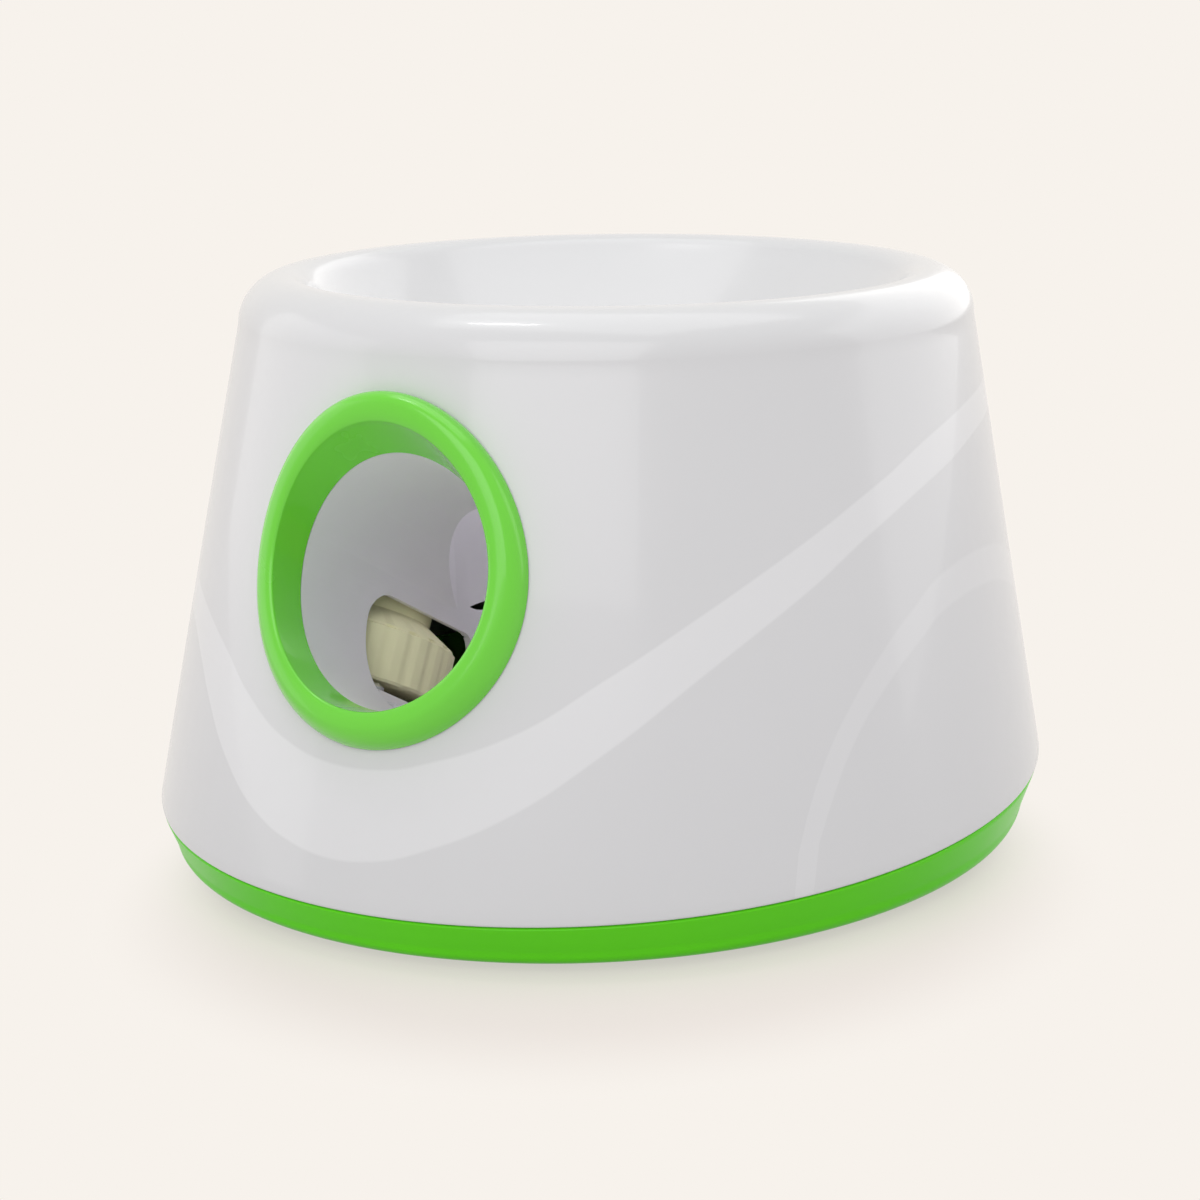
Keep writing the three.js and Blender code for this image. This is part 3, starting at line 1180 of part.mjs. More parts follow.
// A side plate of the feeder, standing on the pan's floor
function feederPlate(side) {
  const front = GUIDE_FRONT - GAP;
  const floor = PAN_FLOOR + GAP;
  const footAt = (along) => (floor - launchPoint(along, 0).z) / Math.cos(LAUNCH_PITCH);
  const corners = [
    [front, footAt(front)],
    [PLATE_REAR, footAt(PLATE_REAR)],
    [PLATE_REAR, PLATE_REAR_TOP],
    [PLATE_TOP_REAR, PLATE_TOP],
    [PLATE_SHOULDER, PLATE_TOP],
    [front, PLATE_NECK_TOP],
  ];
  const outline = outlineOf(
    corners.map(([along, above]) => {
      const point = launchPoint(along, above);
      return [point.y, point.z];
    }),
  );
  const inner = side * PLATE_INNER;
  const outer = side * (PLATE_INNER + PLATE_WALL);
  const plate = acrossX(outline, Math.min(inner, outer), Math.max(inner, outer));
  const edge = side * (PLATE_INNER + PLATE_WALL + FLANGE_WIDTH);
  const flange = block(
    at(Math.min(inner, edge), FLANGE_FRONT_Y, floor),
    at(Math.max(inner, edge), FLANGE_REAR_Y, floor + PLATE_WALL),
  );
  const across = (radius, along, above) => {
    const point = launchPoint(along, above);
    return rod(radius, at(-BODY_RADIUS, point.y, point.z), at(BODY_RADIUS, point.y, point.z), SMALL_SIDES);
  };
  return cut(
    join(plate, flange),
    across(FEED_SHAFT_RADIUS + SHAFT_GAP, FEED_GEAR_AT, FEED_GEAR_ABOVE),
    across(FEEDER_NECK_RADIUS + GAP, MOTOR_AT, MOTOR_ABOVE),
  );
}

// Rear panel pieces, in the panel frame

function lightPlaces() {
  return Array.from({ length: LIGHT_COUNT }, (_, i) => (i - (LIGHT_COUNT - 1) / 2) * LIGHT_SPACING);
}

function powerButton() {
  const stemEnd = -(BOARD_DEPTH - GAP - SWITCH_HEIGHT) - GAP;
  return turned([
    [0, stemEnd],
    [BUTTON_STEM_RADIUS, stemEnd],
    [BUTTON_STEM_RADIUS, BUTTON_STAND - BUTTON_CAP],
    [BUTTON_RADIUS, BUTTON_STAND - BUTTON_CAP],
    [BUTTON_RADIUS, BUTTON_STAND - BUTTON_DOME],
    [BUTTON_RADIUS - BUTTON_DOME, BUTTON_STAND],
    [BUTTON_RADIUS / 2, BUTTON_STAND - BUTTON_DOME / 2],
    [0, BUTTON_STAND - BUTTON_DOME],
  ]);
}

function tactSwitch() {
  const low = -(BOARD_DEPTH - GAP);
  const high = low + SWITCH_HEIGHT;
  const body = block(at(-SWITCH_HALF, -SWITCH_HALF, low), at(SWITCH_HALF, SWITCH_HALF, high));
  const holeLow = at(0, 0, high - SWITCH_HOLE_DEPTH);
  return cut(body, rod(BUTTON_STEM_RADIUS + GAP, holeLow, at(0, 0, high + OVERRUN), SMALL_SIDES));
}

function controlBoard() {
  const board = block(
    at(-BOARD_HALF_WIDTH, BOARD_BOTTOM, -PANEL_DEPTH),
    at(BOARD_HALF_WIDTH, BOARD_TOP, -BOARD_DEPTH),
  );
  const holes = [-1, 1].map((side) => {
    const x = side * POST_SPREAD;
    const low = at(x, POST_RISE, -PANEL_DEPTH - OVERRUN);
    return rod(PIN_RADIUS + GAP, low, at(x, POST_RISE, OVERRUN - BOARD_DEPTH), SMALL_SIDES);
  });
  return cut(board, ...holes);
}

function buzzer() {
  const top = -PANEL_DEPTH - GAP;
  return turned([
    [BUZZER_HOLE_RADIUS, top - BUZZER_HEIGHT],
    [BUZZER_RADIUS, top - BUZZER_HEIGHT],
    [BUZZER_RADIUS, top],
    [0, top],
    [0, top - BUZZER_HEIGHT / 2],
    [BUZZER_HOLE_RADIUS, top - BUZZER_HEIGHT / 2],
    [BUZZER_HOLE_RADIUS, top - BUZZER_HEIGHT],
  ], SMALL_SIDES);
}

function rangeLight() {
  return turned([
    [0, GAP - BOARD_DEPTH],
    [LIGHT_RADIUS, GAP - BOARD_DEPTH],
    [LIGHT_RADIUS, 0],
    [LIGHT_RADIUS / 2, LIGHT_STAND],
    [0, LIGHT_STAND],
  ], SMALL_SIDES);
}

function powerJack() {
  return turned([
    [0, -JACK_LENGTH],
    [JACK_RADIUS, -JACK_LENGTH],
    [JACK_RADIUS, JACK_LIFT],
    [JACK_FLANGE_RADIUS, JACK_LIFT],
    [JACK_FLANGE_RADIUS, JACK_LIFT + JACK_FLANGE],
    [JACK_BORE_RADIUS, JACK_LIFT + JACK_FLANGE],
    [JACK_BORE_RADIUS, -JACK_BORE_DEPTH],
    [JACK_PIN_RADIUS, -JACK_BORE_DEPTH],
    [JACK_PIN_RADIUS, 0],
    [0, JACK_PIN_RADIUS],
  ], SMALL_SIDES);
}

function ballSensor(side) {
  const inner = side * (BORE_RADIUS + GAP);
  const outer = inner + side * SENSOR_LENGTH;
  return rod(SENSOR_RADIUS, at(inner, SENSOR_AT, 0), at(outer, SENSOR_AT, 0), SMALL_SIDES);
}

function rubberFoot() {
  return turned([
    [0, 0],
    [FOOT_RADIUS - FOOT_CORNER, 0],
    [FOOT_RADIUS, FOOT_CORNER],
    [FOOT_RADIUS, FLOOR_LEVEL + FOOT_RECESS - GAP],
    [0, FLOOR_LEVEL + FOOT_RECESS - GAP],
  ]);
}

// The whole launcher
const launcher = new THREE.Group();
launcher.add(mesh("upper_housing", upperHousing(), WHITE, 0.2));
launcher.add(mesh("ball_dish", ballDish(), WHITE, 0.2));
launcher.add(mesh("base_pan", basePan(), BASE_GREEN, 0.35));

const launchGroup = new THREE.Group();
launchGroup.applyMatrix4(launchMatrix);
launcher.add(launchGroup);
launchGroup.add(mesh("port_ring", portRing(), GREEN, 0.25));
launchGroup.add(mesh("launch_barrel", launchBarrel(), BARREL_GREY, 0.5));

for (const [name, side] of [["left", -1], ["right", 1]]) {
  launchGroup.add(mesh(name + "_motor_mount", motorMount(side), BARREL_GREY));
  launchGroup.add(mesh(name + "_ball_sensor", ballSensor(side), DARK));
  const axle = new THREE.Group();
  axle.position.set(side * WHEEL_OFFSET, WHEEL_AT, 0);
  axle.add(mesh(name + "_wheel_tyre", wheelTyre(), WHEEL_GREY, 0.7));
  axle.add(mesh(name + "_wheel_hub", wheelHub(), DARK));
  axle.add(mesh(name + "_motor_shaft", motorShaft(), STEEL, 0.3, 1));
  axle.add(mesh(name + "_motor", wheelMotor(), STEEL, 0.4, 1));
  launchGroup.add(axle);
  for (const [place, end] of [["front", -1], ["rear", 1]]) {
    const fastener = mesh(name + "_mount_screw_" + place, screw(MOUNT_SCREW_LENGTH), STEEL, 0.3, 1);
    fastener.position.set(side * LUG_SCREW_AT, WHEEL_AT + end * LUG_SPREAD, MOUNT_TOP + GAP);
    launchGroup.add(fastener);
  }
}

launchGroup.add(mesh("feed_pusher", feedPusher(), WHEEL_GREY, 0.6));
launchGroup.add(mesh("pusher_guide", pusherGuide(), BARREL_GREY));
const feedAxle = new THREE.Group();
feedAxle.position.set(0, FEED_GEAR_AT, FEED_GEAR_ABOVE);
feedAxle.add(mesh("feed_gear", feedGear(), WHITE, 0.5));
feedAxle.add(mesh("feed_shaft", feedShaft(), STEEL, 0.3, 1));
launchGroup.add(feedAxle);
const feederMotorAxle = new THREE.Group();
feederMotorAxle.position.set(0, MOTOR_AT, MOTOR_ABOVE);
feederMotorAxle.add(mesh("feeder_pinion", feederPinion(), BRASS, 0.4, 1));
feederMotorAxle.add(mesh("feeder_motor", feederMotor(), STEEL, 0.4, 1));
launchGroup.add(feederMotorAxle);
launcher.add(mesh("feeder_plate_left", feederPlate(-1), BARREL_GREY));
launcher.add(mesh("feeder_plate_right", feederPlate(1), BARREL_GREY));

const panelGroup = new THREE.Group();
panelGroup.applyMatrix4(panelMatrix);
launcher.add(panelGroup);
panelGroup.add(mesh("power_button", powerButton(), GREEN, 0.4));
panelGroup.add(mesh("tact_switch", tactSwitch(), DARK));
panelGroup.add(mesh("control_board", controlBoard(), BOARD_GREEN));
const sounder = mesh("buzzer", buzzer(), DARK);
sounder.position.set(BUZZER_X, BUZZER_Y, 0);
panelGroup.add(sounder);
lightPlaces().forEach((x, i) => {
  const light = mesh("range_light_" + (i + 1), rangeLight(), WHITE, 0.2);
  light.position.set(x, LIGHT_RISE, 0);
  panelGroup.add(light);
});
const jack = mesh("power_jack", powerJack(), DARK);
jack.position.set(0, -JACK_DROP, 0);
panelGroup.add(jack);

launcher.add(mesh("battery_door", batteryDoor(), BASE_GREEN, 0.35));
const doorScrew = mesh("battery_door_screw", screw(MOUNT_SCREW_LENGTH).rotateX(Math.PI), STEEL, 0.3, 1);
doorScrew.position.set(DOOR_SCREW_X, DOOR_SCREW_Y, FLOOR_LEVEL - GAP);
launcher.add(doorScrew);
launcher.add(mesh("battery_contact_front", contactPlate(BAY_FRONT_Y + GAP, CONTACT_SPRING), STEEL, 0.3, 1));
launcher.add(mesh("battery_contact_rear", contactPlate(CELLS_REAR_Y, 0), STEEL, 0.3, 1));
let cellNumber = 0;
for (const x of cellMiddles()) {
  for (const place of [0, 1]) {
    cellNumber += 1;
    const cell = mesh("battery_cell_" + cellNumber, batteryCell(), CELL_BLUE, 0.4);
    cell.position.set(x, CELLS_FRONT_Y + place * (CELL_LENGTH + GAP), CELL_LEVEL);
    launcher.add(cell);
  }
}

FEET.forEach(([x, y], i) => {
  const foot = mesh("rubber_foot_" + (i + 1), rubberFoot(), DARK, 0.9);
  foot.position.set(x, y, 0);
  launcher.add(foot);
});
BOSSES.forEach(([x, y], i) => {
  const shape = screw(HOUSING_SCREW_LENGTH).rotateX(Math.PI);
  const fastener = mesh("housing_screw_" + (i + 1), shape, STEEL, 0.3, 1);
  fastener.position.set(x, y, HEAD_SEAT_LEVEL - GAP);
  launcher.add(fastener);
});

export default launcher;
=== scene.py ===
"""Automatic dog ball launcher: finished pieces, materials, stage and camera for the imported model."""

import math

import bmesh
import bpy
from bpy.props import FloatProperty, FloatVectorProperty, IntProperty, PointerProperty
from bpy.types import Operator, Panel, PropertyGroup
from mathutils import Matrix, Vector


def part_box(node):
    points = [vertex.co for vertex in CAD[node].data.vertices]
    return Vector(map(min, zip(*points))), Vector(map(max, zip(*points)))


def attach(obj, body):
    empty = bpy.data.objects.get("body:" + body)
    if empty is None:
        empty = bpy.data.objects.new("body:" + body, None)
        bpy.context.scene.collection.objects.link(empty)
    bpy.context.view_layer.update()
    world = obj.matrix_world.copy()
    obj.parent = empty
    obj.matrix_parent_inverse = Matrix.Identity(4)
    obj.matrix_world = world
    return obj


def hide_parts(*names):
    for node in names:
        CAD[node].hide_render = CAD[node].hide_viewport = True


bl_info = {
    "name": "Dog Ball Launcher",
    "version": (1, 0, 0),
    "blender": (4, 5, 0),
    "location": "View3D > Sidebar > Launcher",
    "description": "Builds the finished pieces of an automatic dog ball launcher",
    "category": "Add Mesh",
}

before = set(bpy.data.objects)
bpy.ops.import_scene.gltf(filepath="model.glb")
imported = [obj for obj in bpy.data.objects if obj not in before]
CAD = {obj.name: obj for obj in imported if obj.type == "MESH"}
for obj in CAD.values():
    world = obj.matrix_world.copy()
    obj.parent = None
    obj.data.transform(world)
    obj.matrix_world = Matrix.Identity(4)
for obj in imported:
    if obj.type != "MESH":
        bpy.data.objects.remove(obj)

GAP = 0.0003

# Body, in metres
FLOOR_LEVEL = 0.0025
SEAM_LEVEL = 0.0198
WIDEST_LEVEL = 0.0248
CREST_LEVEL = 0.1759
SEAM_SLOPE = 0.0317
CREST_SLOPE = -0.0591
LIP_HEIGHT = 0.014
THROAT_Y = -0.017

# Port frame
PORT = Vector((0, -0.115863, 0.1093))
PITCH = math.radians(30)
INWARD = Vector((0, math.cos(PITCH), -math.sin(PITCH)))
UPWARD = Vector((0, math.sin(PITCH), math.cos(PITCH)))
ACROSS = Vector((1, 0, 0))

# Launch wheels, from the bore's axis and along it
WHEEL_OFFSET = 0.066
WHEEL_AT = 0.082

# Battery bay and its door
BAY_LOW = Vector((-0.0952, -0.034, 0))
BAY_HIGH = Vector((-0.041, 0.0705, 0.0311))
DOOR_SCREW = Vector((-0.1032, 0.01825, 0))
DOOR_TOP = 0.0043
SCREW_HOLE = 0.0018

# Feet and housing screws, for each corner of the base
CORNERS = [(-1, -1), (1, -1), (-1, 1), (1, 1)]
FEET = [(x * 0.05, y * 0.106) for x, y in CORNERS]
BOSSES = [(x * 0.07, y * 0.09995) for x, y in CORNERS]

# Barrel
BARREL_WALL = 0.0025
STOP_DROP = 0.00425

# Rear panel frame, and its lights and inlet in that frame
PANEL = Vector((0, 0.135604, 0.086976))
PANEL_OUT = Vector((0, 0.99759, 0.0694))
PANEL_UP = Vector((0, -0.0694, 0.99759))
LIGHT_PLACES = ((-0.012, 0.018), (0.0, 0.018), (0.012, 0.018))
INLET_PLACE = (0, -0.046)


class LauncherBody(PropertyGroup):
    """Sizes of the housing and the base"""

    body_radius: FloatProperty(
        name="Body Radius", description="Radius of the widest circle", default=0.14, unit="LENGTH"
    )
    wall_taper: FloatProperty(
        name="Wall Taper", description="How far the wall leans in", default=math.radians(10.3),
        unit="ROTATION",
    )
    body_lean: FloatProperty(
        name="Body Lean", description="How far the body leans back from the port", default=math.radians(6.4),
        unit="ROTATION",
    )
    crest_radius: FloatProperty(
        name="Crest Radius", description="Radius of the lip's highest line", default=0.1006, unit="LENGTH"
    )
    wall_thickness: FloatProperty(
        name="Wall Thickness", description="Thickness of the moulded walls", default=0.003, unit="LENGTH"
    )
    sides: IntProperty(name="Sides", description="Faces round the body", default=192, min=48)


class LauncherPort(PropertyGroup):
    """Sizes of the port ring, the bore and the wheels"""

    ring_radius: FloatProperty(
        name="Ring Radius", description="Outer radius of the port ring", default=0.0458, unit="LENGTH"
    )
    ring_tall: FloatProperty(
        name="Ring Height Share", description="Height over width of the port ring", default=1.075
    )
    ring_rise: FloatProperty(
        name="Ring Rise", description="How far the ring's middle lies above the bore's", default=0.0008,
        unit="LENGTH",
    )
    bore_radius: FloatProperty(
        name="Bore Radius", description="Inner radius of the launch barrel", default=0.036, unit="LENGTH"
    )
    wheel_radius: FloatProperty(
        name="Wheel Radius", description="Radius of a launch wheel over its ribs", default=0.037,
        unit="LENGTH",
    )
    rib_count: IntProperty(name="Ribs", description="Ribs round a launch wheel", default=26, min=8)


class LauncherFinish(PropertyGroup):
    """Colours of the finishes"""

    shell: FloatVectorProperty(
        name="Shell", description="Glossy white housing", subtype="COLOR", size=4,
        default=(0.74, 0.74, 0.745, 1),
    )
    band: FloatVectorProperty(
        name="Band", description="Pearl bands on the housing", subtype="COLOR", size=4,
        default=(0.82, 0.82, 0.825, 1),
    )
    ring: FloatVectorProperty(
        name="Ring", description="Bright green port ring", subtype="COLOR", size=4,
        default=(0.155, 0.71, 0.028, 1),
    )
    base: FloatVectorProperty(
        name="Base", description="Green base", subtype="COLOR", size=4, default=(0.13, 0.75, 0.012, 1)
    )
    bore: FloatVectorProperty(
        name="Bore", description="Grey launch barrel", subtype="COLOR", size=4,
        default=(0.87, 0.84, 0.9, 1),
    )
    wheel: FloatVectorProperty(
        name="Wheel", description="Pale rubber of the launch wheels", subtype="COLOR", size=4,
        default=(0.97, 0.93, 0.62, 1),
    )
    surround: FloatVectorProperty(
        name="Surround", description="Colour of the floor and the background", subtype="COLOR", size=4,
        default=(0.930, 0.888, 0.839, 1),
    )


def axis_y(level):
    """Where the leaning axis stands at a level."""
    return math.tan(bpy.context.scene.launcher_body.body_lean) * (level - WIDEST_LEVEL)


def wall_radius(level):
    """Outer radius of the wall at a level."""
    body = bpy.context.scene.launcher_body
    return body.body_radius - math.tan(body.wall_taper) * (level - WIDEST_LEVEL)


def level_slope(level):
    """How much a level's line rises towards the rear."""
    if level < SEAM_LEVEL:
        return SEAM_SLOPE * (level - FLOOR_LEVEL) / (SEAM_LEVEL - FLOOR_LEVEL)
    share = (level - SEAM_LEVEL) / (CREST_LEVEL - SEAM_LEVEL)
    return SEAM_SLOPE + (CREST_SLOPE - SEAM_SLOPE) * share


def body_ring(radius, level):
    """A ring about the body's axis: its radius and level, and the middle and slope of that level."""
    return radius, level, axis_y(level), level_slope(level)


def outside_wall(point):
    """How far a point lies outside the wall, level with it."""
    level = point.z
    for _ in range(4):
        level = point.z - level_slope(level) * (point.y - axis_y(level))
    return math.hypot(point.x, point.y - axis_y(level)) - wall_radius(level)


def launch_point(x, along, above):
    """A place in the launch frame: across the bore, along it from the port, and above its axis."""
    return PORT + ACROSS * x + INWARD * along + UPWARD * above


def wall_depth(x, above):
    """How far inward along the launch axis the wall lies at a place across the port."""
    depth = 0.0
    for _ in range(14):
        depth += outside_wall(launch_point(x, depth, above)) / math.cos(PITCH)
    return depth


def quarter(steps):
    """Shares of the two half axes of a quarter arc, from the side to the top."""
    turn = math.pi / 2 / steps
    return [(math.cos(i * turn), math.sin(i * turn)) for i in range(steps + 1)]


# Mesh helpers


def spun(profile, sides, loop=False, data=None):
    """A profile of (radius, height) pairs spun about Z. The data of a row goes with its points."""
    bm = bmesh.new()
    width = len(data[0]) if data else 0
    layers = [bm.verts.layers.float.new("value_%d" % i) for i in range(width)]
    points = []
    for i, (radius, height) in enumerate(profile):
        vert = bm.verts.new((radius, 0, height))
        for layer, value in zip(layers, data[i] if data else ()):
            vert[layer] = value
        points.append(vert)
    edges = [bm.edges.new(pair) for pair in zip(points, points[1:])]
    if loop:
        edges.append(bm.edges.new((points[-1], points[0])))
    bmesh.ops.spin(
        bm, geom=points + edges, cent=(0, 0, 0), axis=(0, 0, 1), dvec=(0, 0, 0), angle=math.tau, steps=sides,
        use_merge=True, use_normal_flip=False, use_duplicate=False,
    )
    bmesh.ops.remove_doubles(bm, verts=bm.verts, dist=1e-6)
    bmesh.ops.recalc_face_normals(bm, faces=bm.faces)
    return bm, layers


def spun_closed(profile, sides, loop=False):
    """A spun profile without data."""
    bm, _ = spun(profile, sides, loop)
    return bm


def dome(radius, foot, rise, steps):
    """Points of a dome from its foot to its top."""
    return [(radius * across, foot + rise * up) for across, up in quarter(steps)]


def leaning(rings, sides, loop=True):
    """Rings of (radius, level, middle, slope) spun and leaned back with the body."""
    bm, (middle, slope) = spun([ring[:2] for ring in rings], sides, loop, [ring[2:] for ring in rings])
    for vert in bm.verts:
        x, y, z = vert.co
        vert.co = x, vert[middle] + y, z + vert[slope] * y
    return bm


def following(rows, sides):
    """Rows of (radius, depth, follow, tall, rise) spun about the launch axis.

    A row takes the wall's curve in the share that follow gives. Tall stretches it, and rise lifts it.
    """
    bm, (follow, tall, rise) = spun([row[:2] for row in rows], sides, True, [row[2:] for row in rows])
    for vert in bm.verts:
        above = vert.co.y * vert[tall] + vert[rise]
        depth = vert.co.z + vert[follow] * wall_depth(vert.co.x, above)
        vert.co = launch_point(vert.co.x, depth, above)
    bmesh.ops.recalc_face_normals(bm, faces=bm.faces)
    return bm


def frame_matrix(origin, x, y, z):
    """A matrix that puts a piece's own X, Y and Z along three directions at an origin."""
    return Matrix.Translation(origin) @ Matrix((x, y, z)).transposed().to_4x4()


def panel_matrix(x=0.0, y=0.0, out=0.0):
    """Own Z out of the rear panel, own Y up it."""
    place = PANEL - ACROSS * x + PANEL_UP * y + PANEL_OUT * out
    return frame_matrix(place, -ACROSS, PANEL_UP, PANEL_OUT)


def launch_matrix(x=0.0, along=0.0, above=0.0):
    """Own Z along the launch wheel's axis, own Y inward along the bore."""
    return frame_matrix(launch_point(x, along, above), ACROSS, INWARD, UPWARD)


def moved(bm, matrix):
    """The form itself, put in its place."""
    bmesh.ops.transform(bm, matrix=matrix, verts=bm.verts)
    return bm


def mirror_x(bm, side):
    """The form itself, or its mirror image in X for a negative side."""
    if side < 0:
        bmesh.ops.scale(bm, vec=(-1, 1, 1), verts=bm.verts)
        bmesh.ops.recalc_face_normals(bm, faces=bm.faces)
    return bm


def bar(radius, low, high, sides=48):
    """A round bar along Z."""
    bm = bmesh.new()
    bmesh.ops.create_cone(
        bm, cap_ends=True, cap_tris=False, segments=sides, radius1=radius, radius2=radius, depth=high - low,
        matrix=Matrix.Translation((0, 0, (low + high) / 2)),
    )
    return bm


def slab(low, high, edge=0.0, segments=3):
    """A box between two corners, with rounded edges where asked."""
    bm = bmesh.new()
    bmesh.ops.create_cube(bm, size=1)
    size = Vector(high) - Vector(low)
    bmesh.ops.scale(bm, vec=size, verts=bm.verts)
    bmesh.ops.translate(bm, vec=(Vector(low) + Vector(high)) / 2, verts=bm.verts)
    if edge:
        bmesh.ops.bevel(
            bm, geom=bm.edges[:], offset=edge, affect="EDGES", segments=segments, profile=0.5, material=-1
        )
    return bm


def as_object(bm, name):
    """A new object in the scene that takes over a form."""
    mesh = bpy.data.meshes.new(name)
    bm.to_mesh(mesh)
    bm.free()
    obj = bpy.data.objects.new(name, mesh)
    bpy.context.scene.collection.objects.link(obj)
    return obj


def together(name, *forms):
    """One object of several separate forms."""
    whole = bmesh.new()
    for form in forms:
        mesh = bpy.data.meshes.new("part")
        form.to_mesh(mesh)
        form.free()
        whole.from_mesh(mesh)
        bpy.data.meshes.remove(mesh)
    return as_object(whole, name)


def combine(obj, other, operation):
    """Cut another object from this one, or join it to this one, and remove the other."""
    modifier = obj.modifiers.new("combine", "BOOLEAN")
    modifier.operation = operation
    modifier.solver = "EXACT"
    modifier.object = other
    depsgraph = bpy.context.evaluated_depsgraph_get()
    mesh = bpy.data.meshes.new_from_object(obj.evaluated_get(depsgraph))
    old = obj.data
    obj.modifiers.clear()
    obj.data = mesh
    bpy.data.meshes.remove(old)
    other_mesh = other.data
    bpy.data.objects.remove(other)
    bpy.data.meshes.remove(other_mesh)


def finished(obj, material, body, nodes=(), sharp=35.0):
    """Shade a piece, give it its finish and let it ride on its body in place of its CAD nodes."""
    mesh = obj.data
    mesh.materials.clear()
    mesh.materials.append(material)
    mesh.shade_smooth()
    mesh.set_sharp_from_angle(angle=math.radians(sharp))
    if nodes:
        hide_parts(*nodes)
    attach(obj, body)


# Materials


class Nodes:
    """The node tree of a material or a world, with short names for the nodes that it needs."""

    def __init__(self, owner):
        owner.use_nodes = True
        self.tree = owner.node_tree
        self.tree.nodes.clear()

    def new(self, kind, **settings):
        node = self.tree.nodes.new("ShaderNode" + kind)
        for key, value in settings.items():
            setattr(node, key, value)
        return node

    def link(self, out, into):
        self.tree.links.new(out, into)

    def put(self, socket, value):
        """Link another node's output to a socket, or give the socket a constant value."""
        if isinstance(value, bpy.types.NodeSocket):
            self.link(value, socket)
        else:
            socket.default_value = value

    def fed(self, node, *values):
        """A node's first output, once its first inputs have their values."""
        for socket, value in zip(node.inputs, values):
            self.put(socket, value)
        return node.outputs[0]

    def place(self):
        return self.new("TexCoord").outputs["Object"]

    def math(self, operation, *values):
        return self.fed(self.new("Math", operation=operation), *values)

    def noise(self, scale, detail=2.0):
        node = self.new("TexNoise")
        self.link(self.place(), node.inputs["Vector"])
        node.inputs["Scale"].default_value = scale
        node.inputs["Detail"].default_value = detail
        return node.outputs["Fac"]

    def ramp(self, value, low, high, to_low=0.0, to_high=1.0, kind="LINEAR"):
        return self.fed(self.new("MapRange", interpolation_type=kind), value, low, high, to_low, to_high)

    def mix(self, share, first, second):
        """A colour between two colours."""
        node = self.new("Mix", data_type="RGBA")
        for i, value in ((0, share), (6, first), (7, second)):
            self.put(node.inputs[i], value)
        return node.outputs[2]

    def seen(self):
        """One for the rays that see the backdrop, straight or in a mirroring or clear surface."""
        path = self.new("LightPath").outputs
        through = self.math("MAXIMUM", path["Is Glossy Ray"], path["Is Transmission Ray"])
        return self.math("MAXIMUM", path["Is Camera Ray"], through)


class Finish(Nodes):
    """A material of one principled surface."""

    def __init__(self, name):
        self.material = bpy.data.materials.new(name)
        super().__init__(self.material)
        self.surface = self.new("BsdfPrincipled")
        self.link(self.surface.outputs[0], self.new("OutputMaterial").inputs["Surface"])

    def set(self, **values):
        """Set the surface's inputs, named with an underscore for each space."""
        for key, value in values.items():
            self.put(self.surface.inputs[key.replace("_", " ")], value)

    def bump(self, height, strength, distance):
        node = self.new("Bump")
        node.inputs["Strength"].default_value = strength
        node.inputs["Distance"].default_value = distance
        self.link(height, node.inputs["Height"])
        self.link(node.outputs[0], self.surface.inputs["Normal"])


def shade(colour, factor):
    """A colour made darker or lighter."""
    return [c * factor for c in colour[:3]] + [1.0]


def moulded(name, colour, roughness, grain=2600.0, depth=0.00001, wear=0.06, coat=0.0, shine=0.5):
    """Moulded plastic or rubber: a faint grain, and a slow drift of colour and gloss."""
    f = Finish(name)
    drift = f.noise(28.0, 3.0)
    f.set(Base_Color=f.mix(drift, shade(colour, 1 - wear), shade(colour, 1 + wear)))
    f.set(Roughness=f.ramp(drift, 0.3, 0.7, roughness * 0.9, roughness * 1.12))
    f.set(Specular_IOR_Level=shine, Coat_Weight=coat, Coat_Roughness=0.05)
    f.bump(f.noise(grain, 2.0), 0.25, depth)
    return f.material


def metal(name, colour, roughness):
    """Worked metal with a fine grain."""
    f = Finish(name)
    drift = f.noise(60.0, 4.0)
    f.set(Base_Color=f.mix(drift, shade(colour, 0.9), shade(colour, 1.05)), Metallic=1.0)
    f.set(Roughness=f.ramp(f.noise(900.0, 3.0), 0.3, 0.7, roughness * 0.8, roughness * 1.3))
    f.bump(f.noise(1500.0, 2.0), 0.2, 0.00001)
    return f.material


def curve_of(f, share, points):
    """A float curve node through points of (share, height)."""
    node = f.new("FloatCurve")
    curve = node.mapping.curves[0]
    curve.points[0].location = points[0]
    curve.points[-1].location = points[-1]
    for x, y in points[1:-1]:
        curve.points.new(x, y)
    node.mapping.update()
    f.link(share, node.inputs["Value"])
    return node.outputs[0]


# Upper and lower edges of the two pearl bands: degrees round the body from the port, and millimetres of
# height
WAVE_TOP = (
    (-180, 128), (-150, 118), (-120, 104), (-90, 96), (-60, 91), (-45, 88), (-30.5, 79.3), (-21, 68.5),
    (-12.2, 60.3), (-4.4, 57.2), (3, 57.5), (10.1, 60.9), (19, 67.4), (31.6, 82.5), (45.8, 99.5),
    (59.8, 114.2), (71.3, 124.8), (87.4, 136.1), (108, 141.5), (130, 141), (155, 135), (180, 128),
)
WAVE_LOW = (
    (-180, 117), (-150, 104), (-120, 90), (-90, 84), (-60, 81), (-44.7, 77.7), (-38.6, 72.3), (-33.1, 64),
    (-25, 50.4), (-16.2, 39.3), (-10.2, 35.2), (-3.4, 33.2), (3, 34.3), (10.8, 39.3), (19.4, 47.4),
    (31.7, 64.1), (45.5, 84.1), (59.3, 100.8), (70.6, 113.2), (85.8, 123.9), (105, 131.5), (130, 131),
    (155, 125), (180, 117),
)
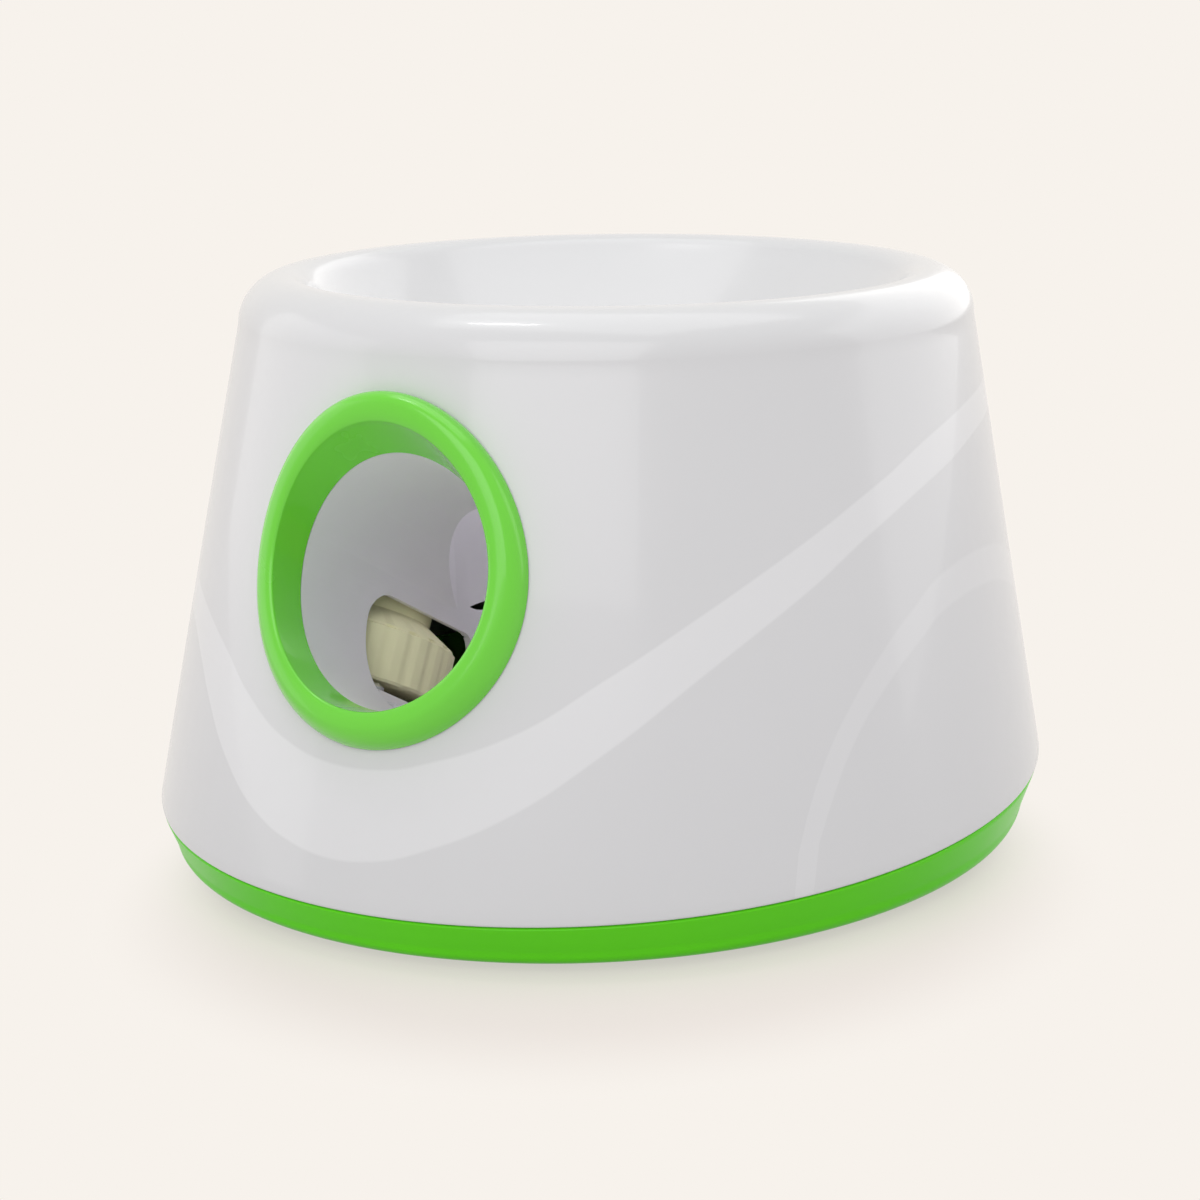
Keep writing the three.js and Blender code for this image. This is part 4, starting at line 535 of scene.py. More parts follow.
ARCH_TOP = (
    (-180, 0), (50, 0), (54.6, 30.3), (56.4, 41.9), (59.1, 54.2), (62.7, 65.4), (68.5, 78), (75, 87.7),
    (84.3, 95.8), (94.4, 96.6), (108.2, 89.2), (120, 77), (132, 58), (142, 34), (148, 12), (152, 0),
    (180, 0),
)
ARCH_LOW = (
    (-180, 0), (52.5, 0), (56.9, 29.3), (59.5, 42.3), (63.3, 56.6), (67.9, 67.3), (76.1, 79),
    (84.5, 85.9), (94, 86.2), (106, 79.5), (118, 66), (128, 48), (137, 26), (143, 0), (180, 0),
)
TALLEST = 180.0


def between(f, angle, level, low, top, soft):
    """A mask that is one between two curves of height round the body."""
    edges = []
    for points in (low, top):
        shares = [((degrees + 180) / 360, height / TALLEST) for degrees, height in points]
        edges.append(f.math("MULTIPLY", curve_of(f, angle, shares), TALLEST / 1000))
    above = f.ramp(f.math("SUBTRACT", level, edges[0]), -soft, soft)
    below = f.ramp(f.math("SUBTRACT", edges[1], level), -soft, soft)
    return f.math("MULTIPLY", above, below)


def shell_finish(colour, band):
    """Glossy white with two pearl bands that run round the body."""
    f = Finish("shell_gloss_white")
    split = f.new("SeparateXYZ")
    f.link(f.place(), split.inputs[0])
    x, y, z = split.outputs
    lean = math.tan(bpy.context.scene.launcher_body.body_lean)
    out = f.math("SUBTRACT", y, f.math("MULTIPLY", f.math("SUBTRACT", z, WIDEST_LEVEL), lean))
    slope = f.ramp(z, SEAM_LEVEL, CREST_LEVEL, SEAM_SLOPE, CREST_SLOPE)
    level = f.math("SUBTRACT", z, f.math("MULTIPLY", slope, out))
    turn = f.math("ARCTAN2", x, f.math("MULTIPLY", out, -1.0))
    angle = f.math("ADD", f.math("DIVIDE", turn, math.tau), 0.5)
    wave = between(f, angle, level, WAVE_LOW, WAVE_TOP, 0.0004)
    arch = f.math("MULTIPLY", between(f, angle, level, ARCH_LOW, ARCH_TOP, 0.0006), 0.45)
    mask = f.math("MAXIMUM", wave, arch)
    drift = f.noise(16.0, 3.0)
    plain = f.mix(drift, shade(colour, 0.985), shade(colour, 1.01))
    f.set(Base_Color=f.mix(mask, plain, band))
    f.set(Roughness=f.ramp(drift, 0.3, 0.7, 0.2, 0.26), Coat_Weight=0.35, Coat_Roughness=0.04)
    grain = f.math("MULTIPLY", f.noise(900.0, 2.0), 0.15)
    f.bump(f.math("ADD", grain, mask), 0.3, 0.00004)
    return f.material


def make_finishes():
    """All the finishes, by the name that the pieces use."""
    c = bpy.context.scene.launcher_finish
    return {
        "shell": shell_finish(c.shell, c.band),
        "ring": moulded("ring_gloss_green", c.ring, 0.25, wear=0.03, coat=0.5),
        "base": moulded("base_gloss_green", c.base, 0.3, wear=0.04, coat=0.03, shine=0.16),
        "barrel": moulded("barrel_grey", c.bore, 0.45),
        "tread": moulded("wheel_pale_rubber", c.wheel, 0.7, 1800.0, 0.00004, 0.1),
        "dark": moulded("dark_plastic", (0.022, 0.022, 0.024, 1), 0.45),
        "nylon": moulded("pale_nylon", (0.7, 0.7, 0.66, 1), 0.5),
        "lens": moulded("lens_clear_white", (0.8, 0.83, 0.83, 1), 0.15, wear=0.01),
        "board": moulded("board_green", (0.02, 0.12, 0.05, 1), 0.4),
        "cell": moulded("cell_blue_film", (0.03, 0.09, 0.28, 1), 0.35),
        "rubber": moulded("foot_rubber", (0.018, 0.018, 0.018, 1), 0.8, 1500.0, 0.00004),
        "steel": metal("bright_steel", (0.62, 0.63, 0.65, 1), 0.3),
        "brass": metal("pinion_brass", (0.75, 0.55, 0.25, 1), 0.35),
    }


FINISHES = {}


def finish(name):
    """The material of a finish. All are made when the first is asked for."""
    if not FINISHES:
        FINISHES.update(make_finishes())
    return FINISHES[name]


# Housing


def bowl_rows(steps, lip, knee, end):
    """Rings of the bowl from its lip to its throat, whose middle drifts forward."""
    rows = []
    start, slope = axis_y(lip[1]), level_slope(lip[1])
    for i in range(steps + 1):
        t = i / steps
        radius = (1 - t) ** 2 * lip[0] + 2 * t * (1 - t) * knee[0] + t * t * end[0]
        level = (1 - t) ** 2 * lip[1] + 2 * t * (1 - t) * knee[1] + t * t * end[1]
        rows.append((radius, level, start + (THROAT_Y - start) * t, slope * (1 - t)))
    return rows


def housing_rings():
    """The housing's closed section: wall, lip, bowl and throat outside, and the same inside."""
    body = bpy.context.scene.launcher_body
    thick = body.wall_thickness
    foot = SEAM_LEVEL + GAP
    lip_foot = CREST_LEVEL - LIP_HEIGHT
    lip_width = wall_radius(lip_foot) - body.crest_radius
    edge, rows = 0.0008, 46
    rings = []
    for across, up in quarter(4):
        level = foot + edge * (1 - across)
        rings.append(body_ring(wall_radius(level) - edge * (1 - up), level))
    for i in range(1, rows):
        level = foot + edge + (lip_foot - foot - edge) * i / rows
        rings.append(body_ring(wall_radius(level), level))
    for across, up in quarter(18):
        rings.append(body_ring(body.crest_radius + lip_width * across, lip_foot + LIP_HEIGHT * up))
    inner, turn, steps = 0.009, math.radians(55), 10
    for i in range(1, steps + 1):
        a = turn * i / steps
        lip = (body.crest_radius - inner * math.sin(a), CREST_LEVEL - inner * (1 - math.cos(a)))
        if i < steps:
            rings.append(body_ring(*lip))
    knee = (0.072, 0.138)
    spigot, spigot_wall, spigot_foot, throat_level, round_off = 0.0383, 0.0025, 0.1215, 0.126, 0.0015
    rings += bowl_rows(34, lip, knee, (spigot + round_off, throat_level))
    for across, up in quarter(4)[1:]:
        rings.append((spigot + round_off * (1 - up), throat_level - round_off * (1 - across), THROAT_Y, 0))
    rings.append((spigot, spigot_foot, THROAT_Y, 0))
    rings.append((spigot + spigot_wall, spigot_foot, THROAT_Y, 0))
    under_lip = (lip[0] + thick * math.sin(turn), lip[1] - thick * math.cos(turn))
    under_knee = (knee[0] + thick * math.cos(turn), knee[1] - thick)
    rings += reversed(bowl_rows(12, under_lip, under_knee, (spigot + spigot_wall, throat_level - thick)))
    width, height = lip_width - thick, LIP_HEIGHT - thick
    for up, across in quarter(4):
        rings.append(body_ring(body.crest_radius + width * across, lip_foot + height * up))
    rings.append(body_ring(wall_radius(foot) - thick, foot))
    return rings


class LAUNCHER_OT_housing(Operator):
    """Build the white housing with its lip, bowl, throat, port and rear holes"""

    bl_idname = "launcher.housing"
    bl_label = "Housing"

    def execute(self, context):
        port = context.scene.launcher_port
        shell = as_object(leaning(housing_rings(), context.scene.launcher_body.sides), "housing_shell")
        port_hole, button_hole, inlet_hole, light_hole = 0.0395, 0.0094, 0.0057, 0.0023
        behind, beyond = -0.0056, 0.002
        hole = bar(port_hole, -0.046, 0.0411, 128)
        bmesh.ops.scale(hole, vec=(1, port.ring_tall, 1), verts=hole.verts)
        bmesh.ops.translate(hole, vec=(0, port.ring_rise, 0), verts=hole.verts)
        moved(hole, frame_matrix(PORT, ACROSS, UPWARD, INWARD))
        bmesh.ops.recalc_face_normals(hole, faces=hole.faces)
        cutters = [hole, moved(bar(button_hole, behind, beyond, 64), panel_matrix())]
        cutters.append(moved(bar(inlet_hole, -0.015, beyond), panel_matrix(*INLET_PLACE)))
        for place in LIGHT_PLACES:
            cutters.append(moved(bar(light_hole, behind, beyond, 32), panel_matrix(*place)))
        combine(shell, together("cutters", *cutters), "DIFFERENCE")
        finished(shell, finish("shell"), "housing", ("upper_housing", "ball_dish"))
        return {"FINISHED"}


# Port ring and barrel


class LAUNCHER_OT_port_ring(Operator):
    """Build the green port ring and its sleeve"""

    bl_idname = "launcher.port_ring"
    bl_label = "Port Ring"

    def execute(self, context):
        port = context.scene.launcher_port
        bore, depth, wall = port.bore_radius, 0.0085, 0.0022
        on_wall = (1, port.ring_tall, port.ring_rise)
        crest_radius, crest, lift = 0.0414, 0.0068, 0.0005
        crease_radius, crease = 0.037, 0.005
        rows = []
        for across, up in quarter(14):
            radius = crest_radius + (port.ring_radius - crest_radius) * across
            rows.append((radius, -lift - (crest - lift) * up, *on_wall))
        for up, across in quarter(14)[1:]:
            radius = crest_radius + (crease_radius - crest_radius) * across
            rows.append((radius, -crease - (crest - crease) * up, *on_wall))
        for i in range(1, 9):
            t = i / 8
            radius = crease_radius + (bore - crease_radius) * t
            tall = port.ring_tall + (1 - port.ring_tall) * t
            rows.append((radius, -crease + (depth + crease) * t, 1, tall, port.ring_rise * (1 - t)))
        rows.append((bore + wall, depth, 1, 1, 0))
        rows.append((crease_radius + wall, -lift, *on_wall))
        ring = as_object(following(rows, 160), "port_ring_bead")
        finished(ring, finish("ring"), "housing", ("port_ring",), 50.0)
        return {"FINISHED"}


class LAUNCHER_OT_barrel(Operator):
    """Build the grey launch barrel with its intake, stop, lugs and wheel windows"""

    bl_idname = "launcher.barrel"
    bl_label = "Launch Barrel"

    def execute(self, context):
        bore = context.scene.launcher_port.bore_radius
        outer, stop, stop_hole, rest = bore + BARREL_WALL, 0.13779, 0.024, 0.117
        front, straight, rear = 0.0088, 0.02, stop + BARREL_WALL
        rows = [(0, front, 1, 1, 0)] + [(outer * i / 6, front, 1, 1, 0) for i in range(1, 7)]
        rows += [(outer, straight + (rear - straight) * i / 12, 0, 1, 0) for i in range(13)]
        rows.append((0, rear, 0, 1, 0))
        barrel = as_object(following(rows, 128), "barrel_tube")
        throat = Matrix.Translation((0, THROAT_Y, 0))
        combine(barrel, as_object(moved(bar(0.038, 0.07, 0.1245, 96), throat), "intake"), "UNION")
        lug_top, lug_half, lug_spread, lug_hole = -0.0263, 0.0045, 0.018, 0.0018
        for side in (-1, 1):
            combine(barrel, as_object(self.window(side), "window"), "DIFFERENCE")
            sweep = moved(bar(0.039, lug_top, 0.006, 96), launch_matrix(side * WHEEL_OFFSET, WHEEL_AT))
            combine(barrel, as_object(sweep, "sweep"), "DIFFERENCE")
        lugs, holes = [], []
        for side in (-1, 1):
            for along in (WHEEL_AT - lug_spread, WHEEL_AT + lug_spread):
                lug = slab((0.018, along - lug_half, -0.0323), (0.043, along + lug_half, lug_top), 0.0006)
                lugs.append(moved(mirror_x(lug, side), launch_matrix()))
                holes.append(moved(bar(lug_hole, -0.034, -0.025, 24), launch_matrix(side * 0.036, along)))
        combine(barrel, together("lugs", *lugs), "UNION")
        combine(barrel, together("lug_holes", *holes), "DIFFERENCE")
        foot = launch_point(0, rest, -STOP_DROP).z
        drop = as_object(moved(bar(0.0355, foot, 0.13, 96), throat), "drop")
        beyond = slab((-0.2, stop, -0.2), (0.2, 0.4, 0.2))
        combine(drop, as_object(moved(beyond, launch_matrix()), "beyond"), "DIFFERENCE")
        combine(barrel, drop, "DIFFERENCE")
        axis = launch_matrix() @ Matrix.Rotation(-math.pi / 2, 4, "X")
        combine(barrel, as_object(moved(bar(bore, -0.06, stop, 128), axis), "bore"), "DIFFERENCE")
        lowered = Matrix.Translation(UPWARD * -STOP_DROP) @ axis
        hole = moved(bar(stop_hole, stop - 0.002, rear + 0.002, 64), lowered)
        combine(barrel, as_object(hole, "hole"), "DIFFERENCE")
        across = launch_matrix(0, rest + 0.007) @ Matrix.Rotation(math.pi / 2, 4, "Y")
        combine(barrel, as_object(moved(bar(0.0028, -0.06, 0.06, 24), across), "sensor_holes"), "DIFFERENCE")
        finished(barrel, finish("barrel"), "housing", ("launch_barrel",), 30.0)
        return {"FINISHED"}

    def window(self, side):
        """A rounded block that opens one side of the barrel."""
        window_top, front, rear, corner = 0.0065, 0.0515, 0.114, 0.009
        form = slab((0.012, front, -0.03), (0.04, rear, window_top))
        across = [e for e in form.edges if abs(e.verts[0].co.x - e.verts[1].co.x) > 0.01]
        bmesh.ops.bevel(
            form, geom=across, offset=corner, affect="EDGES", segments=10, profile=0.5, material=-1
        )
        return moved(mirror_x(form, side), launch_matrix())


# Launch wheels


class LAUNCHER_OT_wheels(Operator):
    """Build the ribbed rubber tyres of the two launch wheels"""

    bl_idname = "launcher.wheels"
    bl_label = "Launch Wheels"

    def execute(self, context):
        for name, side in (("left", -1), ("right", 1)):
            place = launch_matrix(side * WHEEL_OFFSET, WHEEL_AT)
            tyre = as_object(moved(self.tyre(context), place), name + "_tyre")
            finished(tyre, finish("tread"), name + "_wheel", (name + "_wheel_tyre",), 40.0)
        return {"FINISHED"}

    def tyre(self, context):
        """A ribbed drum with a sloped shoulder and a narrower cap, about Z."""
        port = context.scene.launcher_port
        radius, bore, low, depth, edge, cap_edge = port.wheel_radius, 0.02, -0.0195, 0.0006, 0.0008, 0.001
        rib_top, shoulder, cap, top, rib_share = -0.0025, 0.004, 0.027, 0.014, 0.44
        profile = [(bore, low), (radius - edge, low), (radius, low + edge)]
        profile += [(radius, low + edge + (rib_top - low - 0.0012) * i / 6) for i in range(1, 7)]
        profile += [(radius - 0.0004, rib_top), (radius - 0.0007, rib_top + 0.0001)]
        profile += [(radius - 0.0009, rib_top + 0.0007)]
        profile += [(cap + 0.0004, shoulder - 0.0003), (cap, shoulder + 0.0001), (cap, top - cap_edge)]
        for across, up in quarter(4)[1:]:
            profile.append((cap - cap_edge + cap_edge * across, top - cap_edge + cap_edge * up))
        profile.append((bore, top))
        bm = spun_closed(profile, port.rib_count * 8, True)
        for vert in bm.verts:
            distance = math.hypot(vert.co.x, vert.co.y)
            if distance > radius - 0.001 and vert.co.z < rib_top + 0.0001:
                turn = math.atan2(vert.co.y, vert.co.x) * port.rib_count / math.tau % 1
                if turn > 1 - rib_share:
                    vert.co.xy *= (distance - depth) / distance
        return bm


# Base


class LAUNCHER_OT_base(Operator):
    """Build the green base with its door seat, foot recesses and screw holes"""

    bl_idname = "launcher.base"
    bl_label = "Base"

    def execute(self, context):
        flat, corner, edge, wall = 0.1305, 0.0055, 0.0008, 0.003
        tongue_in, tongue_tall, tongue_wall = 0.0033, 0.004, 0.0022
        rim = wall_radius(SEAM_LEVEL) - 0.0007
        inner = wall_radius(SEAM_LEVEL) - tongue_in
        rings = [(0, FLOOR_LEVEL, axis_y(FLOOR_LEVEL), 0)]
        rings += [(flat * i / 8, FLOOR_LEVEL, axis_y(FLOOR_LEVEL), 0) for i in range(1, 8)]
        for up, across in quarter(8):
            rings.append(body_ring(flat + corner * across, FLOOR_LEVEL + corner * (1 - up)))
        start = rings[-1]
        for i in range(1, 8):
            t = i / 8
            level = start[1] + (SEAM_LEVEL - edge - start[1]) * t
            rings.append(body_ring(start[0] + (rim - start[0]) * t, level))
        for across, up in quarter(4):
            rings.append(body_ring(rim - edge * (1 - across), SEAM_LEVEL - edge * (1 - up)))
        rings.append(body_ring(inner, SEAM_LEVEL))
        tongue = wall_radius(SEAM_LEVEL + tongue_tall) - tongue_in
        rings.append(body_ring(tongue, SEAM_LEVEL + tongue_tall))
        rings.append(body_ring(tongue - tongue_wall, SEAM_LEVEL + tongue_tall))
        rings.append(body_ring(inner - tongue_wall, SEAM_LEVEL - wall))
        rings.append((flat - wall, FLOOR_LEVEL + wall, axis_y(FLOOR_LEVEL), 0))
        rings.append((0, FLOOR_LEVEL + wall, axis_y(FLOOR_LEVEL), 0))
        pan = as_object(leaning(rings, context.scene.launcher_body.sides, False), "base_pan_green")
        combine(pan, self.grown(), "UNION")
        combine(pan, self.cradles(), "UNION")
        combine(pan, as_object(slab(BAY_LOW, BAY_HIGH), "bay"), "DIFFERENCE")
        combine(pan, door_form(0.0, 0.001, DOOR_TOP), "DIFFERENCE")
        recesses = [(place, 0.0093, 0.0005, FLOOR_LEVEL + 0.001, 48) for place in FEET]
        recesses += [(place, 0.0033, 0.0005, 0.008, 48) for place in BOSSES]
        screw_holes = [(place, SCREW_HOLE, 0.001, 0.031, 24) for place in BOSSES]
        screw_holes.append((DOOR_SCREW.to_2d(), SCREW_HOLE, 0.001, 0.0107, 24))
        for name, holes in (("recesses", recesses), ("screw_holes", screw_holes)):
            cutters = [moved(bar(*size), Matrix.Translation((*place, 0))) for place, *size in holes]
            combine(pan, together(name, *cutters), "DIFFERENCE")
        finished(pan, finish("base"), "housing", ("base_pan",), 35.0)
        return {"FINISHED"}

    def grown(self):
        """The walls of the battery bay and the bosses that stand in the pan."""
        wall, roof, boss = Vector((0.002, 0.002, 0)), Vector((0, 0, 0.0015)), 0.005
        low, high = BAY_LOW - wall, BAY_HIGH + wall + roof
        low.z = DOOR_TOP
        forms = [slab(low, high, 0.0005, 2)]
        for place in BOSSES:
            forms.append(moved(bar(boss, 0.004, 0.0297), Matrix.Translation((*place, 0))))
        forms.append(moved(bar(boss, DOOR_TOP, 0.0125), Matrix.Translation(DOOR_SCREW)))
        return together("grown", *forms)

    def cradles(self):
        """The two saddles that carry the barrel."""
        half, thick = 0.018, 0.003
        forms = [slab((-half, y, 0.004), (half, y + thick, 0.036)) for y in (-0.046, -0.022)]
        cradles = together("cradles", *forms)
        axis = launch_matrix() @ Matrix.Rotation(-math.pi / 2, 4, "X")
        combine(cradles, as_object(moved(bar(0.0388, 0, 0.18, 96), axis), "barrel_space"), "DIFFERENCE")
        return cradles


def door_form(margin, bottom, top):
    """The battery door's plate with its screw tab, drawn in from its seat by a margin."""
    width, corner, tab_reach, tab_half = 0.004, 0.003, 0.006, 0.008
    ledge = Vector((width - margin, width - margin, 0))
    low, high = BAY_LOW - ledge, BAY_HIGH + ledge
    plate = slab((low.x, low.y, bottom), (high.x, high.y, top))
    x, y = DOOR_SCREW.x - tab_reach + margin, tab_half - margin
    tab = slab((x, DOOR_SCREW.y - y, bottom), (low.x + width, DOOR_SCREW.y + y, top))
    for form, inner in ((plate, high.x + 1), (tab, low.x)):
        upright = [
            e for e in form.edges
            if abs(e.verts[0].co.z - e.verts[1].co.z) > 0.0005 and e.verts[0].co.x < inner
        ]
        bmesh.ops.bevel(
            form, geom=upright, offset=corner, affect="EDGES", segments=6, profile=0.5, material=-1
        )
    door = as_object(plate, "door_plate")
    combine(door, as_object(tab, "tab"), "UNION")
    return door


# Rear controls


class LAUNCHER_OT_controls(Operator):
    """Build the power button, the three range lights and the power inlet on the rear wall"""

    bl_idname = "launcher.controls"
    bl_label = "Rear Controls"

    def execute(self, context):
        finished(self.button(), finish("ring"), "button", ("power_button",), 30.0)
        radius, foot, rim, rise = 0.002, -0.0127, -0.0002, 0.0006
        for i, place in enumerate(LIGHT_PLACES):
            lens = spun_closed([(radius, foot), (radius, rim)] + dome(radius, rim, rise, 8), 32)
            light = as_object(moved(lens, panel_matrix(*place)), "range_lens_%d" % (i + 1))
            finished(light, finish("lens"), "housing", ("range_light_%d" % (i + 1),))
        finished(self.inlet(), finish("dark"), "housing", ("power_jack",))
        return {"FINISHED"}

    def button(self):
        """A dished cap with a raised rim, a standby mark pressed into it, and its stem."""
        rim, top, dip = 0.009, 0.0012, 0.0005
        profile = [(0, -0.009), (0.002, -0.009), (0.002, -0.0024), (rim, -0.0024)]
        profile += [(rim - dip + dip * across, top - dip + dip * up) for across, up in quarter(6)]
        profile += [(0.0078 - 0.0006 * i / 6, top - dip * math.sin(math.pi / 2 * i / 6)) for i in range(7)]
        profile += [(0.0068 - 0.0068 * i / 10, top - dip) for i in range(1, 11)]
        cap = as_object(moved(spun_closed(profile, 96), panel_matrix()), "button_cap")
        ring = spun_closed([(0.0026, 0), (0.0033, 0), (0.0033, 0.002), (0.0026, 0.002)], 64, True)
        mark = as_object(ring, "mark")
        combine(mark, as_object(slab((-0.001, 0.0015, -0.001), (0.001, 0.004, 0.003)), "gap"), "DIFFERENCE")
        stroke = slab((-0.00035, 0.0012, 0), (0.00035, 0.0037, 0.002))
        combine(mark, as_object(stroke, "stroke"), "UNION")
        mark.data.transform(panel_matrix(0, 0, top - dip - 0.00025))
        combine(cap, mark, "DIFFERENCE")
        return cap

    def inlet(self):
        """A round inlet with a flange, a socket and a centre pin."""
        length, flange, lift, bore, pin, round_off = 0.015, 0.007, 0.0006, 0.0029, 0.00105, 0.0004
        face = lift + 0.0012
        level = face - round_off
        profile = [(0, -length), (0.0054, -length), (0.0054, lift), (flange, lift), (flange, level)]
        deep, pin_foot = -0.01, -0.0004
        for across, up in quarter(4):
            profile.append((flange - round_off + round_off * across, level + round_off * up))
        profile += [(bore + round_off, face), (bore, level), (bore, deep), (pin, deep), (pin, pin_foot)]
        profile += dome(pin, pin_foot, pin, 5)
        return as_object(moved(spun_closed(profile, 64), panel_matrix(*INLET_PLACE)), "inlet_round")


# Underside


class LAUNCHER_OT_underside(Operator):
    """Build the feet, the battery door and the screws under the base"""

    bl_idname = "launcher.underside"
    bl_label = "Underside"

    def execute(self, context):
        for i in range(4):
            foot = as_object(moved(self.foot(), Matrix.Translation((*FEET[i], 0))), "foot_pad_%d" % (i + 1))
            finished(foot, finish("rubber"), "housing", ("rubber_foot_%d" % (i + 1),))
            self.screw("base_screw_%d" % (i + 1), (*BOSSES[i], 0.0077), 0.03, "housing_screw_%d" % (i + 1))
        self.screw("door_screw", (*DOOR_SCREW.to_2d(), 0.0022), 0.007, "battery_door_screw")
        finished(self.door(), finish("base"), "housing", ("battery_door",))
        return {"FINISHED"}

    def foot(self):
        """A round pad with a rounded tread edge and two grooves."""
        radius, top, edge, groove = 0.009, 0.0032, 0.0008, 0.0004
        profile = [(0, 0)]
        for start in (0.0035, 0.0062):
            profile += [(start, 0), (start + 0.0003, groove), (start + 0.0009, groove), (start + 0.0012, 0)]
        profile += [(radius - edge + edge * up, edge - edge * across) for across, up in quarter(5)]
        profile += [(radius, top), (0, top)]
        return spun_closed(profile, 64)

    def screw(self, name, place, length, node):
        """A pan-head screw with a cross recess, which points up from its head."""
        shank, head, tall, pitch, thread = 0.0015, 0.003, 0.0022, 0.001, 0.0003
        straight = tall * 0.45
        profile = [(0, length), (shank, length - shank)]
        for i in range(int(length / pitch) - 2):
            level = length - shank - 0.0004 - i * pitch
            profile += [(shank, level), (shank - thread, level - thread)]
        profile += [(shank, thread), (shank, 0), (head, 0), (head, -straight)]
        profile += dome(head, -straight, straight - tall, 8)[1:]
        form = as_object(moved(spun_closed(profile, 40), Matrix.Translation(place)), name)
        for turn in (0, math.pi / 2):
            arm = slab((-0.0018, -0.0003, -0.003), (0.0018, 0.0003, -0.0011))
            crossed = Matrix.Translation(place) @ Matrix.Rotation(turn, 4, "Z")
            combine(form, as_object(moved(arm, crossed), "arm"), "DIFFERENCE")
        finished(form, finish("steel"), "housing", (node,))

    def door(self):
        """The door with its screw hole and the grooves for a thumb."""
        low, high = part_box("battery_door")
        door = door_form(GAP, low[2], high[2])
        hole = moved(bar(SCREW_HOLE, 0, 0.01, 32), Matrix.Translation(DOOR_SCREW))
        combine(door, as_object(hole, "hole"), "DIFFERENCE")
        half_long, half_wide, depth, first, step = 0.012, 0.0006, 0.0006, 0.008, 0.0026
        grooves = []
        for i in range(7):
            groove = slab((-half_long, -half_wide, -0.001), (half_long, half_wide, depth))
            place = ((BAY_LOW.x + BAY_HIGH.x) / 2, low[1] + first + i * step, low[2])
            grooves.append(moved(groove, Matrix.Translation(place)))
        combine(door, together("grooves", *grooves), "DIFFERENCE")
        return door


# Carried-over pieces

# The finish of each kind of CAD node, whose number is left out. The others are steel
CARRIED = {
    "base_pan": "base", "battery_door": "base", "power_button": "ring",
    "left_motor_mount": "barrel", "right_motor_mount": "barrel", "pusher_guide": "barrel",
    "feeder_plate_left": "barrel", "feeder_plate_right": "barrel",
    "feed_pusher": "nylon", "feed_gear": "nylon", "feeder_pinion": "brass",
    "left_wheel_hub": "dark", "right_wheel_hub": "dark", "left_ball_sensor": "dark",
    "right_ball_sensor": "dark", "tact_switch": "dark", "buzzer": "dark", "power_jack": "dark",
    "control_board": "board", "range_light": "lens", "rubber_foot": "rubber", "battery_cell": "cell",
}


class LAUNCHER_OT_carried(Operator):
    """Give every carried-over piece its finish"""

    bl_idname = "launcher.carried"
    bl_label = "Carried Pieces"

    def execute(self, context):
        for name, node in CAD.items():
            node.data.materials.clear()
            node.data.materials.append(finish(CARRIED.get(name.rstrip("_1234"), "steel")))
        return {"FINISHED"}


# Stage

CAMERA_PLACE = (0.48501, -0.78383, 0.32877)
CAMERA_RIGHT = (0.85703, 0.51348, -0.04275)
CAMERA_UP = (-0.10309, 0.25216, 0.96218)

# Name, place, aim, size and power of each lamp
LAMPS = (
    ("top", (0.0, 0.1, 1.35), (0, 0, 0.1), (1.3, 1.1), 4.4),
    ("front", (0.32, -1.1, 0.8), (0, -0.05, 0.09), (1.2, 0.9), 4.6),
    ("sparkle", (-0.33, -0.15, 1.43), (0.03, -0.09, 0.178), (0.06, 0.3), 0.8),
    ("right", (0.8, 1.65, 0.5), (0, 0, 0.1), (3.4, 2.1), 20.0),
    ("left", (-1.4, -0.45, 0.25), (0, 0, 0.1), (1.5, 1.4), 3.7),
)
WORLD_LIGHT = 0.54


def soft_light(name, place, aim, size, power):
    """A rectangular lamp, aimed at a place."""
    data = bpy.data.lights.new(name, "AREA")
    data.shape = "RECTANGLE"
    data.size, data.size_y = size
    data.energy = power
    obj = bpy.data.objects.new(name, data)
    obj.location = place
    obj.rotation_euler = (Vector(aim) - Vector(place)).to_track_quat("-Z", "Y").to_euler()
    bpy.context.scene.collection.objects.link(obj)


